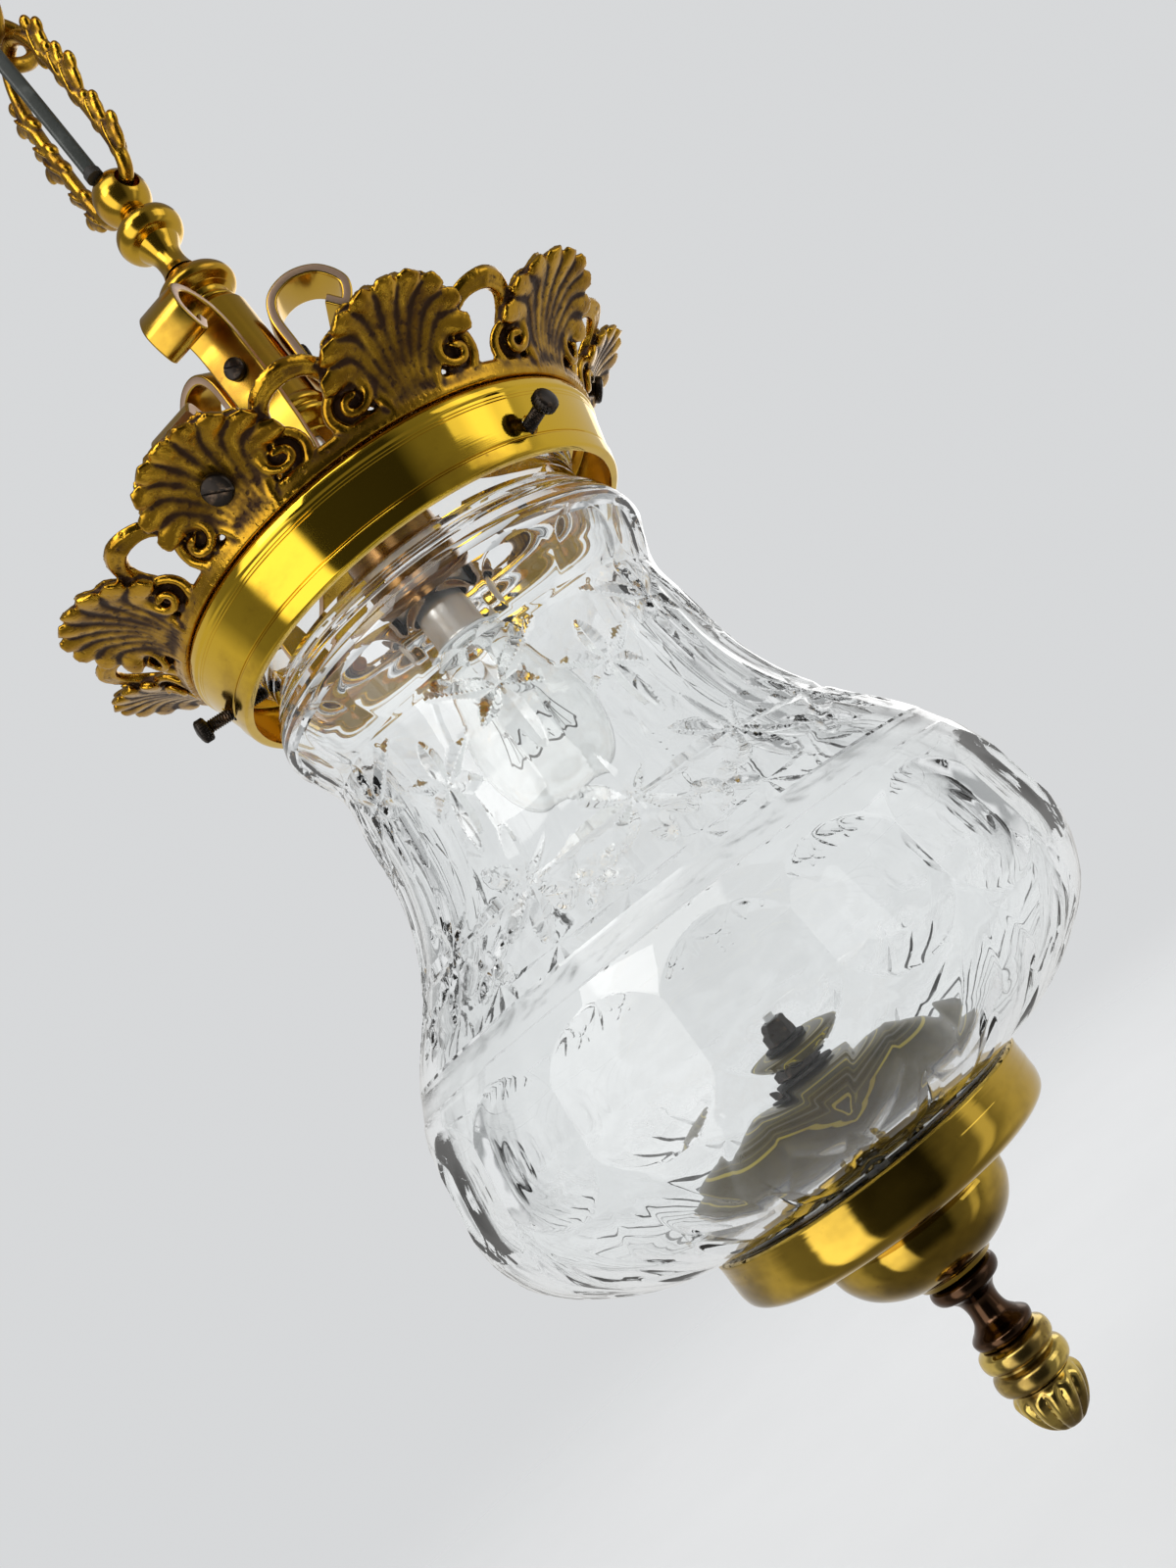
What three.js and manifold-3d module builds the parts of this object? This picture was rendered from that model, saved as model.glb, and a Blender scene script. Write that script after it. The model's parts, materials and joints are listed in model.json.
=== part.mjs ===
// A hanging sanctuary lamp: a cut-glass lantern carried by a pierced brass gallery.
// Millimetres, +Z up. The origin is the middle of the ceiling plate's upper face, and the lamp
// hangs below it. Most pieces are turned about the lamp's own axis, which is the Z axis.
// Depths are measured downwards from the middle of the stem ball, and radii from the axis.

import * as THREE from 'three';
import { mergeVertices } from 'three/addons/utils/BufferGeometryUtils.js';
import Module from 'manifold-3d';

const wasm = await Module();
wasm.setup();

// ---- driving dimensions ----

const BALL_DROP = 132; // ceiling down to the middle of the stem ball
const GAP = 0.3; // clearance kept between pieces that touch
const BALL_R = 8.4;
const LINK_HEIGHT = 62; // between the centre lines of the chain link's two bows
const LINK_HALF_WIDTH = 13.5;
const LINK_WIRE_R = 2.7;
const RING_R = 9; // small hanging ring, to the middle of its wire
const RING_WIRE_R = 2.2;
const HOOK_R = 8; // ceiling hook's bend, to the middle of its wire
const HOOK_WIRE_R = 2.8;
const CABLE_R = 1.7;
const SUSPENSION_TURN = -50; // degrees that hook, ring and link are turned about the axis
const CABLE_HOLE = [-4, -14.5]; // where the cable leaves the ceiling rose
const BORE_R = 3.3; // bore through the stem pieces
const ARM_COUNT = 3;
const ARM_AZIMUTH = -17.5; // first arm, in degrees from the front (-Y) towards +X
const ARM_WIDTH = 13;
const ARM_THICK = 3;
const FAN_COUNT = 9; // palmette fans round the gallery crown
const CROWN_BASE_R = 64;
const CROWN_TIP_R = 89;
const CROWN_THICK = 3;
const COLLAR_TOP = 138.3; // depth of the collar's upper edge
const COLLAR_BOTTOM = 157;
const COLLAR_WALL = 2.2;
const SCREW_DEPTH = 150.5; // depth of the three glass screws
const SCREW_AZIMUTH = 45;
const SCREW_R = 2;
const GLASS_WALL = 3.2;
const GLASS_FOOT = 338; // depth of the glass's ground lower edge
const BULB_CAP_R = 11; // 22 mm bayonet cap
const BULB_R = 22.5;
const BULB_CAP_END = 172;
const CUP_TOP = 334.6;
const ROD_R = 3;
const FINIAL_TOP = 370.9;
const FINIAL_TIP = 414.5;

// ---- finishes ----

function finish(colour, roughness, metalness, extra = {}) {
  return new THREE.MeshStandardMaterial({ color: colour, roughness, metalness, ...extra });
}

const polishedBrass = finish(0xc99a2e, 0.18, 1);
const castBrass = finish(0xa8802c, 0.4, 1);
const bronze = finish(0x4a3320, 0.3, 1);
const blackSteel = finish(0x2a2622, 0.45, 1);
const nickel = finish(0xb8b6b0, 0.25, 1);
const cutGlass = finish(0xf2f6f6, 0.03, 0, { transparent: true, opacity: 0.3 });
const cableJacket = finish(0x2b2e2c, 0.5, 0);
const rubber = finish(0x24211f, 0.8, 0);

// ---- helpers ----

const lamp = new THREE.Group();
const radians = THREE.MathUtils.degToRad;

function below(depth) {
  return -BALL_DROP - depth;
}

function add(name, geometry, material) {
  const mesh = new THREE.Mesh(geometry, material);
  mesh.name = name;
  lamp.add(mesh);
  return mesh;
}

// One closed mesh with shared vertices, no empty triangles and its faces pointing out.
function weld(source) {
  const bare = source.clone();
  bare.deleteAttribute('normal');
  bare.deleteAttribute('uv');
  const geometry = mergeVertices(bare, 1e-3);
  const corners = geometry.index.array;
  const p = geometry.attributes.position;
  const kept = [];
  let volume = 0;
  const [a, b, c] = [new THREE.Vector3(), new THREE.Vector3(), new THREE.Vector3()];
  for (let i = 0; i < corners.length; i += 3) {
    const [i0, i1, i2] = corners.slice(i, i + 3);
    if (i0 === i1 || i1 === i2 || i2 === i0) continue;
    kept.push(i0, i1, i2);
    a.fromBufferAttribute(p, i0);
    b.fromBufferAttribute(p, i1);
    c.fromBufferAttribute(p, i2);
    volume += a.dot(b.cross(c));
  }
  geometry.setIndex(volume > 0 ? kept : kept.reverse());
  return geometry;
}

function toSolid(geometry) {
  const welded = weld(geometry);
  const vertProperties = new Float32Array(welded.attributes.position.array);
  const triVerts = new Uint32Array(welded.index.array);
  return new wasm.Manifold(new wasm.Mesh({ numProp: 3, vertProperties, triVerts }));
}

function fromSolid(solid) {
  const mesh = solid.getMesh();
  const geometry = new THREE.BufferGeometry();
  geometry.setAttribute('position', new THREE.BufferAttribute(mesh.vertProperties, 3));
  geometry.setIndex(new THREE.BufferAttribute(mesh.triVerts, 1));
  return geometry;
}

function cut(geometry, ...tools) {
  return fromSolid(tools.reduce((solid, tool) => solid.subtract(toSolid(tool)), toSolid(geometry)));
}

function join(...parts) {
  return fromSolid(parts.map(toSolid).reduce((solid, part) => solid.add(part)));
}

// Turns an outline of [radius, depth] points about the lamp's axis.
function turned(outline, segments = 18) {
  const points = outline.map(([r, depth]) => new THREE.Vector2(r, below(depth)));
  if (outline[0][0] > 0) points.push(points[0].clone());
  return weld(new THREE.LatheGeometry(points, segments).rotateX(Math.PI / 2));
}

// A smooth stretch of outline through a few [radius, depth] points.
function smooth(points, steps) {
  const curve = new THREE.SplineCurve(points.map(([r, depth]) => new THREE.Vector2(r, depth)));
  return curve.getPoints(steps).map((p) => [p.x, p.y]);
}

function cylinder(r, length, sides = 20) {
  return new THREE.CylinderGeometry(r, r, length, sides);
}

// Moves a shape whose +Y axis points outwards to a place on the lamp, tipped down by `tip` degrees.
function placeRadially(geometry, azimuth, r, depth, tip = 0) {
  const turn = radians(azimuth);
  const out = new THREE.Vector3(Math.sin(turn), -Math.cos(turn), 0);
  const side = new THREE.Vector3(Math.cos(turn), Math.sin(turn), 0);
  const up = new THREE.Vector3(0, 0, 1);
  const direction = out.clone().multiplyScalar(Math.cos(radians(tip)));
  direction.addScaledVector(up, -Math.sin(radians(tip)));
  const third = new THREE.Vector3().crossVectors(side, direction);
  const matrix = new THREE.Matrix4().makeBasis(side, direction, third);
  matrix.setPosition(out.multiplyScalar(r).setZ(below(depth)));
  return geometry.clone().applyMatrix4(matrix);
}

function circleShape(r, sides) {
  const points = [];
  for (let i = 0; i < sides; i += 1) {
    const a = (2 * Math.PI * i) / sides;
    points.push(new THREE.Vector2(r * Math.cos(a), r * Math.sin(a)));
  }
  return new THREE.Shape(points);
}

// A round wire along a smooth open path of [x, y, z] points.
function wire(points, r, steps, sides = 8) {
  const path = new THREE.CatmullRomCurve3(points.map((p) => new THREE.Vector3(...p)));
  const settings = { steps, bevelEnabled: false, extrudePath: path };
  return weld(new THREE.ExtrudeGeometry(circleShape(r, sides), settings));
}

// ---- ceiling fitting ----

const linkTop = below(-LINK_HEIGHT);
const ringBottom = linkTop - LINK_WIRE_R - RING_WIRE_R - GAP;
const ringCentre = ringBottom + RING_R;
const hookBottom = ringCentre + RING_R - RING_WIRE_R - HOOK_WIRE_R - GAP;
const hookCentre = hookBottom + HOOK_R;
const PLATE_R = 42;
const PLATE_THICK = 3;
const ROSE_DEPTH = 25;

function ceilingDepth(z) {
  return -BALL_DROP - z;
}

function ceilingPlate() {
  const top = ceilingDepth(0);
  const bottom = ceilingDepth(-PLATE_THICK);
  return turned([[0, top], [PLATE_R, top], [PLATE_R, bottom], [0, bottom]], 40);
}

// A dished cover, open towards the ceiling, with a middle hole for the hook and one for the cable.
function ceilingRose() {
  const rim = ceilingDepth(-PLATE_THICK - GAP);
  const floor = rim + ROSE_DEPTH;
  const outside = [[46, rim], [46, rim + 3], ...smooth([[42, rim + 5], [33, rim + 15], [14, floor]], 6)];
  const inside = [[5, floor], [5, floor - 2], [13.5, floor - 2.5], [31, rim + 13], [40.5, rim + 3]];
  const bowl = turned([...outside, ...inside, [44, rim]], 20);
  const cableHole = cylinder(CABLE_R + 0.8, 40, 16).rotateX(Math.PI / 2).translate(...CABLE_HOLE, -22);
  return cut(bowl, cableHole);
}

function ceilingHook() {
  const shankTop = -PLATE_THICK - GAP - 1;
  const points = [[0, 0, shankTop], [0, 0, -20], [0, 0, hookCentre + HOOK_R + 5]];
  for (const turn of [60, 0, -45, -90, -135, -180, -215]) {
    const a = radians(turn);
    points.push([HOOK_R * Math.cos(a), 0, hookCentre + HOOK_R * Math.sin(a)]);
  }
  return wire(points, HOOK_WIRE_R, 22).rotateZ(radians(SUSPENSION_TURN));
}

function hexNut(across, height, bore) {
  const nut = new THREE.CylinderGeometry(across / Math.sqrt(3), across / Math.sqrt(3), height, 6);
  return cut(nut, cylinder(bore, height + 2, 20));
}

add('ceiling_plate', ceilingPlate(), polishedBrass);
add('ceiling_rose', ceilingRose(), polishedBrass);
add('ceiling_hook', ceilingHook(), castBrass);
const hookNutZ = -PLATE_THICK - ROSE_DEPTH + 2.5;
const hookNut = hexNut(11, 4, HOOK_WIRE_R + GAP).rotateX(Math.PI / 2).translate(0, 0, hookNutZ + 2.6);
add('hook_nut', hookNut, nickel);

// ---- hanging ring and decorated chain link ----

// Bends a torus to the link's outline: nearly square at the bow in the ball, round at the top bow.
function chainLink() {
  const geometry = new THREE.TorusGeometry(1, LINK_WIRE_R / 100, 8, 44);
  const p = geometry.attributes.position;
  const half = LINK_HEIGHT / 2;
  for (let i = 0; i < p.count; i += 1) {
    const [x, y, z] = [p.getX(i), p.getY(i), p.getZ(i)];
    const a = Math.atan2(y, x);
    const power = y < 0 ? 0.4 : 0.8;
    const reach = Math.hypot(x, y) - 1;
    const away = new THREE.Vector2(Math.cos(a), Math.sin(a));
    const lineX = LINK_HALF_WIDTH * Math.sign(away.x) * Math.abs(away.x) ** power;
    const lineY = half * Math.sign(away.y) * Math.abs(away.y) ** power;
    const bumps = y > -0.9 && y < 0.85 ? 1.15 + 0.2 * Math.cos(7 * a) : 1;
    p.setXYZ(i, lineX + away.x * reach * 100 * bumps, z * 100 * bumps, lineY + away.y * reach * 100 * bumps);
  }
  return weld(geometry.translate(0, 0, below(0) + half).rotateZ(radians(SUSPENSION_TURN)));
}

const hangingRing = new THREE.TorusGeometry(RING_R, RING_WIRE_R, 8, 24).rotateY(Math.PI / 2);
hangingRing.rotateZ(radians(SUSPENSION_TURN));
add('hanging_ring', weld(hangingRing.translate(0, 0, ringCentre)), castBrass);
add('chain_link', chainLink(), castBrass);

// ---- cable, from the ceiling rose down to the stem ball ----

const cableRoute = [
  [...CABLE_HOLE, -30],
  [-4, -14.2, -48],
  [-3.6, -12.8, -64],
  [-3.2, -11.2, -80],
  [-2.8, -9.4, -94],
  [-2.5, -7.2, -109],
  [-2.3, -5, below(-BALL_R) + 1.1],
];

// Cuts the stretch between two heights out of the cable's one smooth route.
function cableStretch(highZ, lowZ) {
  const route = new THREE.CatmullRomCurve3(cableRoute.map((p) => new THREE.Vector3(...p)));
  const points = route.getPoints(120).filter((p) => p.z <= highZ && p.z >= lowZ);
  const kept = points.filter((p, i) => i % 6 === 0 || i === points.length - 1);
  return wire(kept.map((p) => p.toArray()), CABLE_R, 6);
}

add('cable_upper', cableStretch(-30, -63.8), cableJacket);
add('cable_middle', cableStretch(-64.2, -93.8), cableJacket);
add('cable_lower', cableStretch(-94.2, -125), cableJacket);

// ---- stem ----

function stemBall() {
  const ball = new THREE.SphereGeometry(BALL_R, 18, 12).rotateX(Math.PI / 2).translate(0, 0, below(0));
  const crossHole = cylinder(LINK_WIRE_R + 0.8, 40, 16).rotateZ(Math.PI / 2 + radians(SUSPENSION_TURN));
  crossHole.translate(0, 0, below(0));
  const flat = cylinder(20, 10).rotateX(Math.PI / 2).translate(0, 0, below(BALL_R - 0.6) - 5);
  return cut(ball, crossHole, flat);
}

function stemSpool() {
  const outside = [
    [5.2, 8.2],
    [6.2, 10.5],
    [9.4, 12.5],
    [10, 15],
    [9.2, 17.6],
    ...smooth([[6.4, 19.6], [4.6, 23], [4.5, 27]], 4),
    [5.4, 31],
  ];
  return turned([[BORE_R, 8.2], ...outside, [BORE_R, 31]]);
}

function stemDisc() {
  const outside = [[5.6, 31.3], [8.6, 34.5], [12, 37.6], [12, 40.6], [8.8, 43], [7.6, 45], [8.4, 47]];
  return turned([[BORE_R, 31.3], ...outside, [BORE_R, 47]]);
}

function hubCore() {
  const outside = [
    [8.6, 47.3],
    [10, 50],
    [10, 86],
    [11.2, 87.5],
    [11.2, 89.5],
    [9.6, 90.6],
    [11, 92],
    [10, 94.5],
    [7, 97],
  ];
  return turned([[BORE_R, 47.3], ...outside, [BORE_R, 97]]);
}

add('stem_ball', stemBall(), polishedBrass);
add('stem_spool', stemSpool(), polishedBrass);
add('stem_disc', stemDisc(), polishedBrass);
add('hub_core', hubCore(), polishedBrass);
add('stem_tube', turned([[2.1, 8.6], [3, 8.6], [3, 128], [2.1, 128]], 20), nickel);
add('inner_flex', turned([[0, 9], [1.7, 9], [1.7, 127.6], [0, 127.6]], 12), cableJacket);

// ---- three strap arms and their screws ----

// The arm's centre line in its own upright plane, as [radius, depth]: a volute at the top, a
// straight run down the hub, a sweep out to the gallery, and a curl behind the leaf's tip.
const armLine = [
  [27.5, 64.5],
  [31.5, 68.2],
  [35, 62],
  [31, 55],
  [23.5, 52.6],
  [16, 55],
  [12.4, 61],
  [11.9, 71],
  [11.9, 79],
  [13.1, 88],
  [15, 99],
  [20, 113],
  [34, 126],
  [48, 132],
  [57.5, 133],
  [63.2, 128.8],
  [67, 123.2],
  [69.4, 115.5],
  [72.6, 109.5],
  [76, 112.6],
];

// A strap of even thickness along a line, extruded across its width.
function strapArm(azimuth) {
  const line = new THREE.SplineCurve(armLine.map(([r, depth]) => new THREE.Vector2(r, -depth)));
  const steps = 30;
  const left = [];
  const right = [];
  for (let i = 0; i <= steps; i += 1) {
    const point = line.getPoint(i / steps);
    const tangent = line.getTangent(i / steps);
    const across = new THREE.Vector2(-tangent.y, tangent.x).multiplyScalar(ARM_THICK / 2);
    left.push(point.clone().add(across));
    right.unshift(point.clone().sub(across));
  }
  const outline = new THREE.Shape([...left, ...right]);
  const strap = new THREE.ExtrudeGeometry(outline, { depth: ARM_WIDTH, bevelEnabled: false });
  strap.translate(0, 0, -ARM_WIDTH / 2).rotateX(Math.PI / 2);
  return strap.rotateZ(radians(azimuth - 90)).translate(0, 0, -BALL_DROP);
}

// A cheese-head screw with its driver slot. It points inwards from its head.
function slottedScrew(headR, headHeight, shankR, shankLength) {
  const head = cylinder(headR, headHeight, 12).translate(0, headHeight / 2, 0);
  const shank = cylinder(shankR, shankLength + 0.5, 10).translate(0, 0.25 - shankLength / 2, 0);
  const slot = new THREE.BoxGeometry(headR * 3, 1.2, 0.9).translate(0, headHeight, 0);
  return cut(join(head, shank), slot);
}

const HUB_SCREW_DEPTH = 72.6;
const GALLERY_SCREW_DEPTH = 126.6;
const GALLERY_SCREW_REACH = 71.8;
const GALLERY_SCREW_TIP = 36;
const hubFace = 11.9 + ARM_THICK / 2;
const hubScrewHoles = [];
const galleryScrewHoles = [];

for (let i = 0; i < ARM_COUNT; i += 1) {
  const azimuth = ARM_AZIMUTH + (360 / ARM_COUNT) * i;
  const hubHole = placeRadially(cylinder(1.8, 8, 10), azimuth, hubFace - 4, HUB_SCREW_DEPTH);
  const galleryHole = placeRadially(
    cylinder(2.4, 13, 10), azimuth, GALLERY_SCREW_REACH - 2, GALLERY_SCREW_DEPTH - 1.4, GALLERY_SCREW_TIP);
  hubScrewHoles.push(hubHole);
  galleryScrewHoles.push(galleryHole);
  add(`arm_${i + 1}`, cut(strapArm(azimuth), hubHole, galleryHole), polishedBrass);
  const hubScrew = placeRadially(slottedScrew(3.2, 2, 1.5, 3), azimuth, hubFace + GAP, HUB_SCREW_DEPTH);
  add(`hub_screw_${i + 1}`, hubScrew, blackSteel);
  const seat = [azimuth, GALLERY_SCREW_REACH + 2.4, GALLERY_SCREW_DEPTH + 1.8, GALLERY_SCREW_TIP];
  add(`gallery_screw_${i + 1}`, placeRadially(slottedScrew(3.8, 2.2, 2, 9.5), ...seat), blackSteel);
}

// ---- gallery crown ----

const CROWN_TOP = 119.4;
const crownLine = [
  [CROWN_BASE_R + 0.6, 136.5],
  [65.8, 132.5],
  [70, 127.4],
  [78, 122.6],
  [CROWN_TIP_R, CROWN_TOP],
];

// The flared shell that the palmettes are pierced from, with a flat base ring under it.
function crownShell() {
  const line = new THREE.SplineCurve(crownLine.map(([r, depth]) => new THREE.Vector2(r, depth)));
  const steps = 4;
  const outer = [];
  const inner = [];
  for (let i = 0; i <= steps; i += 1) {
    const point = line.getPoint(i / steps);
    const tangent = line.getTangent(i / steps);
    const across = new THREE.Vector2(-tangent.y, tangent.x).multiplyScalar(CROWN_THICK / 2);
    outer.push(point.clone().add(across).toArray());
    inner.unshift(point.clone().sub(across).toArray());
  }
  const shell = turned([...outer, ...inner], 36);
  const base = turned([[61, 134.6], [65.6, 134.6], [66, 138], [61, 138]], 36);
  return join(shell, base);
}

// A pierced opening's outline, in the plane that lies on the flare: `near` the base to `far` out.
function openingOutline(near, far, nearHalf, farHalf) {
  const shape = new THREE.Shape();
  shape.moveTo(-nearHalf, near + 3);
  shape.quadraticCurveTo(-nearHalf, near, 0, near);
  shape.quadraticCurveTo(nearHalf, near, nearHalf, near + 3);
  shape.quadraticCurveTo(nearHalf * 0.8, (near + far) / 2, farHalf, far - 3);
  shape.quadraticCurveTo(farHalf, far, 0, far);
  shape.quadraticCurveTo(-farHalf, far, -farHalf, far - 3);
  shape.quadraticCurveTo(-nearHalf * 0.8, (near + far) / 2, -nearHalf, near + 3);
  return shape;
}

function crownOpening(outline, azimuth) {
  const punch = new THREE.ExtrudeGeometry(outline, { depth: 40, bevelEnabled: false, curveSegments: 1 });
  punch.translate(0, 0, -20).rotateZ(Math.PI);
  return punch.rotateX(radians(-28)).rotateZ(radians(azimuth)).translate(0, 0, below(158));
}

function galleryCrown() {
  let crown = toSolid(crownShell());
  for (let i = 0; i < FAN_COUNT; i += 1) {
    const between = ARM_AZIMUTH + (360 / FAN_COUNT) * (i + 0.5);
    for (const outline of [openingOutline(71, 86, 9, 6), openingOutline(91, 115, 7, 16)]) {
      const punch = crownOpening(outline, between);
      crown = crown.subtract(toSolid(punch));
    }
  }
  for (const hole of galleryScrewHoles) crown = crown.subtract(toSolid(hole));
  return fromSolid(crown);
}

add('gallery_crown', galleryCrown(), castBrass);

// ---- collar ring and its three glass screws ----

function collarRing() {
  const outside = [[65.2, COLLAR_TOP], [65.2, 143], [61.4, 153.6], [61.9, 154.2], [60.5, COLLAR_BOTTOM]];
  const flange = [[62.6, COLLAR_TOP + 1.8], [58, COLLAR_TOP + 1.8], [58, COLLAR_TOP]];
  const inside = [[60.5 - COLLAR_WALL, COLLAR_BOTTOM], [62.6, 143], ...flange];
  return turned([...outside, ...inside], 30);
}

// A screw with a knurled head. Its tip rests under the glass's lip.
function thumbScrew() {
  const tipR = 51.2;
  const neckR = 68.6;
  const shaft = cylinder(SCREW_R, neckR - tipR + 0.5, 12).translate(0, (neckR + tipR + 0.5) / 2, 0);
  const head = cylinder(3.8, 3.2, 14).translate(0, neckR + 1.6, 0);
  return join(shaft, head);
}

const screwHoles = [];
for (let i = 0; i < 3; i += 1) {
  const azimuth = SCREW_AZIMUTH + 120 * i;
  const hole = cylinder(SCREW_R + 0.4, 20, 12).translate(0, 61, 0);
  screwHoles.push(placeRadially(hole, azimuth, 0, SCREW_DEPTH));
  add(`thumb_screw_${i + 1}`, placeRadially(thumbScrew(), azimuth, 0, SCREW_DEPTH), blackSteel);
}
add('collar_ring', cut(collarRing(), ...screwHoles), polishedBrass);

// ---- glass ----

const glassLine = [
  [55, 163],
  [57.3, 171],
  [54.6, 179],
  [51.8, 187],
  [53.2, 199],
  [55.3, 216],
  [59.8, 230],
  [67.4, 243],
  [76, 254],
  [82.2, 264],
  [86.6, 275],
  [89.4, 288],
  [89.2, 299],
  [84.4, 312],
  [75.5, 320.6],
  [63, 328.2],
  [50, 332],
  [43.6, 333],
];

// The blown shell: lip and neck above, a smooth body of even wall, and a ground foot below.
function glassShade() {
  const line = new THREE.SplineCurve(glassLine.map(([r, depth]) => new THREE.Vector2(r, depth)));
  const steps = 11;
  const outside = [];
  const inside = [];
  for (let i = 0; i <= steps; i += 1) {
    const point = line.getPoint(i / steps);
    const tangent = line.getTangent(i / steps);
    const inwards = new THREE.Vector2(-tangent.y, tangent.x).multiplyScalar(GLASS_WALL);
    outside.push(point.toArray());
    inside.unshift(point.clone().add(inwards).toArray());
  }
  const lip = [[48.4, 143], [49.6, 141.8], [53.4, 142.6], [53.8, 145.4], [50.6, 148], [50.4, 157]];
  const foot = [[42.6, 334.6], [42.4, GLASS_FOOT], [39.4, GLASS_FOOT], [39.2, 333]];
  return turned([...lip, ...outside, ...foot, ...inside, [47.2, 157]], 28);
}

add('glass_shade', glassShade(), cutGlass);

// ---- lampholder and bulb ----

function lampholder() {
  const shoulder = [[7, 128.4], [11, 129.5], [14.4, 133], [14.4, 146]];
  const rim = [[15.2, 147], [15.2, 150], [14.2, 151], [14.2, 160]];
  const inside = [[12.9, 160], [12.9, 140], [BORE_R, 140], [BORE_R, 128.4]];
  return turned([...shoulder, ...rim, ...inside]);
}

// The bulb's metal cap, with its two bayonet pins.
function bulbCap() {
  const side = [[8, 146], [BULB_CAP_R, 148], [BULB_CAP_R, BULB_CAP_END]];
  const shell = turned([[0, 146], ...side, [0, BULB_CAP_END]], 28);
  const pins = cylinder(1, 2 * BULB_CAP_R + 2.8, 10).rotateZ(radians(90 - 30)).rotateX(Math.PI / 2);
  return join(shell, pins.translate(0, 0, below(153)));
}

function bulbGlass() {
  const top = BULB_CAP_END + GAP;
  const end = top + 50;
  const widest = end - BULB_R;
  const outside = [[10.2, top], [11, top + 6], [15.5, top + 14]];
  for (const turn of [-25, 0, 25, 50, 72]) {
    outside.push([BULB_R * Math.cos(radians(turn)), widest + BULB_R * Math.sin(radians(turn))]);
  }
  const inside = outside.map(([r, depth]) => [r - 0.9, depth]).reverse();
  return turned([...outside, [0, end], [0, end - 0.9], ...inside], 16);
}

// Glass stem, two support wires and a coiled filament, as one slim solid.
function filamentMount() {
  const top = BULB_CAP_END + 0.6;
  const stem = turned([[0, top], [4, top], [2.4, 184], [1.6, 196], [0, 196]], 16);
  const bar = cylinder(0.7, 16, 8).rotateZ(Math.PI / 2).translate(0, 0, below(204));
  const legs = [-1, 1].map((side) => {
    const route = [[side, 0, below(192)], [3 * side, 0, below(198)], [7.4 * side, 0, below(204)]];
    return wire(route, 0.6, 4, 6);
  });
  return join(stem, ...legs, bar);
}

add('lampholder', lampholder(), polishedBrass);
add('bulb_cap', bulbCap(), nickel);
add('bulb_glass', bulbGlass(), cutGlass);
add('filament_mount', filamentMount(), nickel);

// ---- bottom clamp, cup and dome ----

// The domed dish inside the glass that the tie rod pulls down on.
function clampDish() {
  const top = smooth([[5, 313.4], [20, 315], [34, 321], [42.6, 327.4]], 4);
  const under = [[41.6, 328.4], [33, 323.2], [20, 317.2], [ROD_R + GAP, 315.6]];
  return turned([...top, ...under, [ROD_R + GAP, 313.4]], 24);
}

function bottomCup() {
  const outside = [[45.5, CUP_TOP], [45.6, 341], [45.3, 345], [43.6, 348], [40.5, 349.2]];
  const inside = [[ROD_R + GAP, 349.2], [ROD_R + GAP, 347.4], [40, 347.2], [43.2, 344], [43.4, CUP_TOP]];
  return turned([...outside, ...inside], 28);
}

function bottomDome() {
  const rim = [[26, 349.5], [26.2, 351.4], [25, 352]];
  const dome = smooth([[25, 356], [23.4, 361.6], [18.6, 366.4], [10.4, 369.6]], 5);
  return turned([...rim, ...dome, [9, 370.6], [ROD_R + GAP, 370.6], [ROD_R + GAP, 349.5]]);
}

const nutAtDish = hexNut(12, 5, ROD_R + GAP).rotateX(Math.PI / 2).translate(0, 0, below(309.4));
add('clamp_dish', clampDish(), polishedBrass);
add('clamp_washer', turned([[ROD_R + GAP, 312.2], [9, 312.2], [9, 313.1], [ROD_R + GAP, 313.1]], 24), rubber);
add('clamp_nut', nutAtDish, blackSteel);
add('tie_rod', turned([[0, 303], [ROD_R, 303], [ROD_R, 385], [0, 385]], 20), nickel);
add('glass_seat', turned([[38, 338.3], [42.8, 338.3], [42.8, 339.8], [38, 339.8]]), rubber);
add('bottom_cup', bottomCup(), polishedBrass);
add('bottom_dome', bottomDome(), polishedBrass);

// ---- finial ----

function finialSpool() {
  const outside = [
    [7.4, FINIAL_TOP],
    [9.4, 372.6],
    [9, 375.2],
    ...smooth([[6, 376.6], [4.6, 380.4], [5.6, 384.4], [8.2, 387.4]], 4),
    [7.6, 389.2],
  ];
  return turned([[ROD_R + 0.4, FINIAL_TOP], ...outside, [0, 389.2], [0, 385.8], [ROD_R + 0.4, 385.8]], 24);
}

function finialBeads() {
  const upper = [[8, 389.5], [9.6, 390.6], [9.9, 392.6], [9, 394.6]];
  const lower = [[8.2, 395.6], [9.8, 396.8], [10.2, 398.4], [9.2, 400.4]];
  return turned([[0, 389.5], ...upper, ...lower, [8.2, 401], [0, 401]], 24);
}

// The fluted acorn tip: a turned body whose radius swings in and out twelve times round.
function finialAcorn() {
  const side = [[8.4, 401.3], [8.7, 403.4], [8, 407], [6.2, 411], [3.4, 413.8]];
  const outline = [[0, 401.3], ...side, [0, FINIAL_TIP]];
  const geometry = turned(outline, 36);
  const p = geometry.attributes.position;
  for (let i = 0; i < p.count; i += 1) {
    const swell = 1 + 0.05 * Math.cos(12 * Math.atan2(p.getY(i), p.getX(i)));
    p.setXY(i, p.getX(i) * swell, p.getY(i) * swell);
  }
  return geometry;
}

add('finial_spool', finialSpool(), bronze);
add('finial_beads', finialBeads(), polishedBrass);
add('finial_acorn', finialAcorn(), polishedBrass);

export default lamp;
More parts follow.
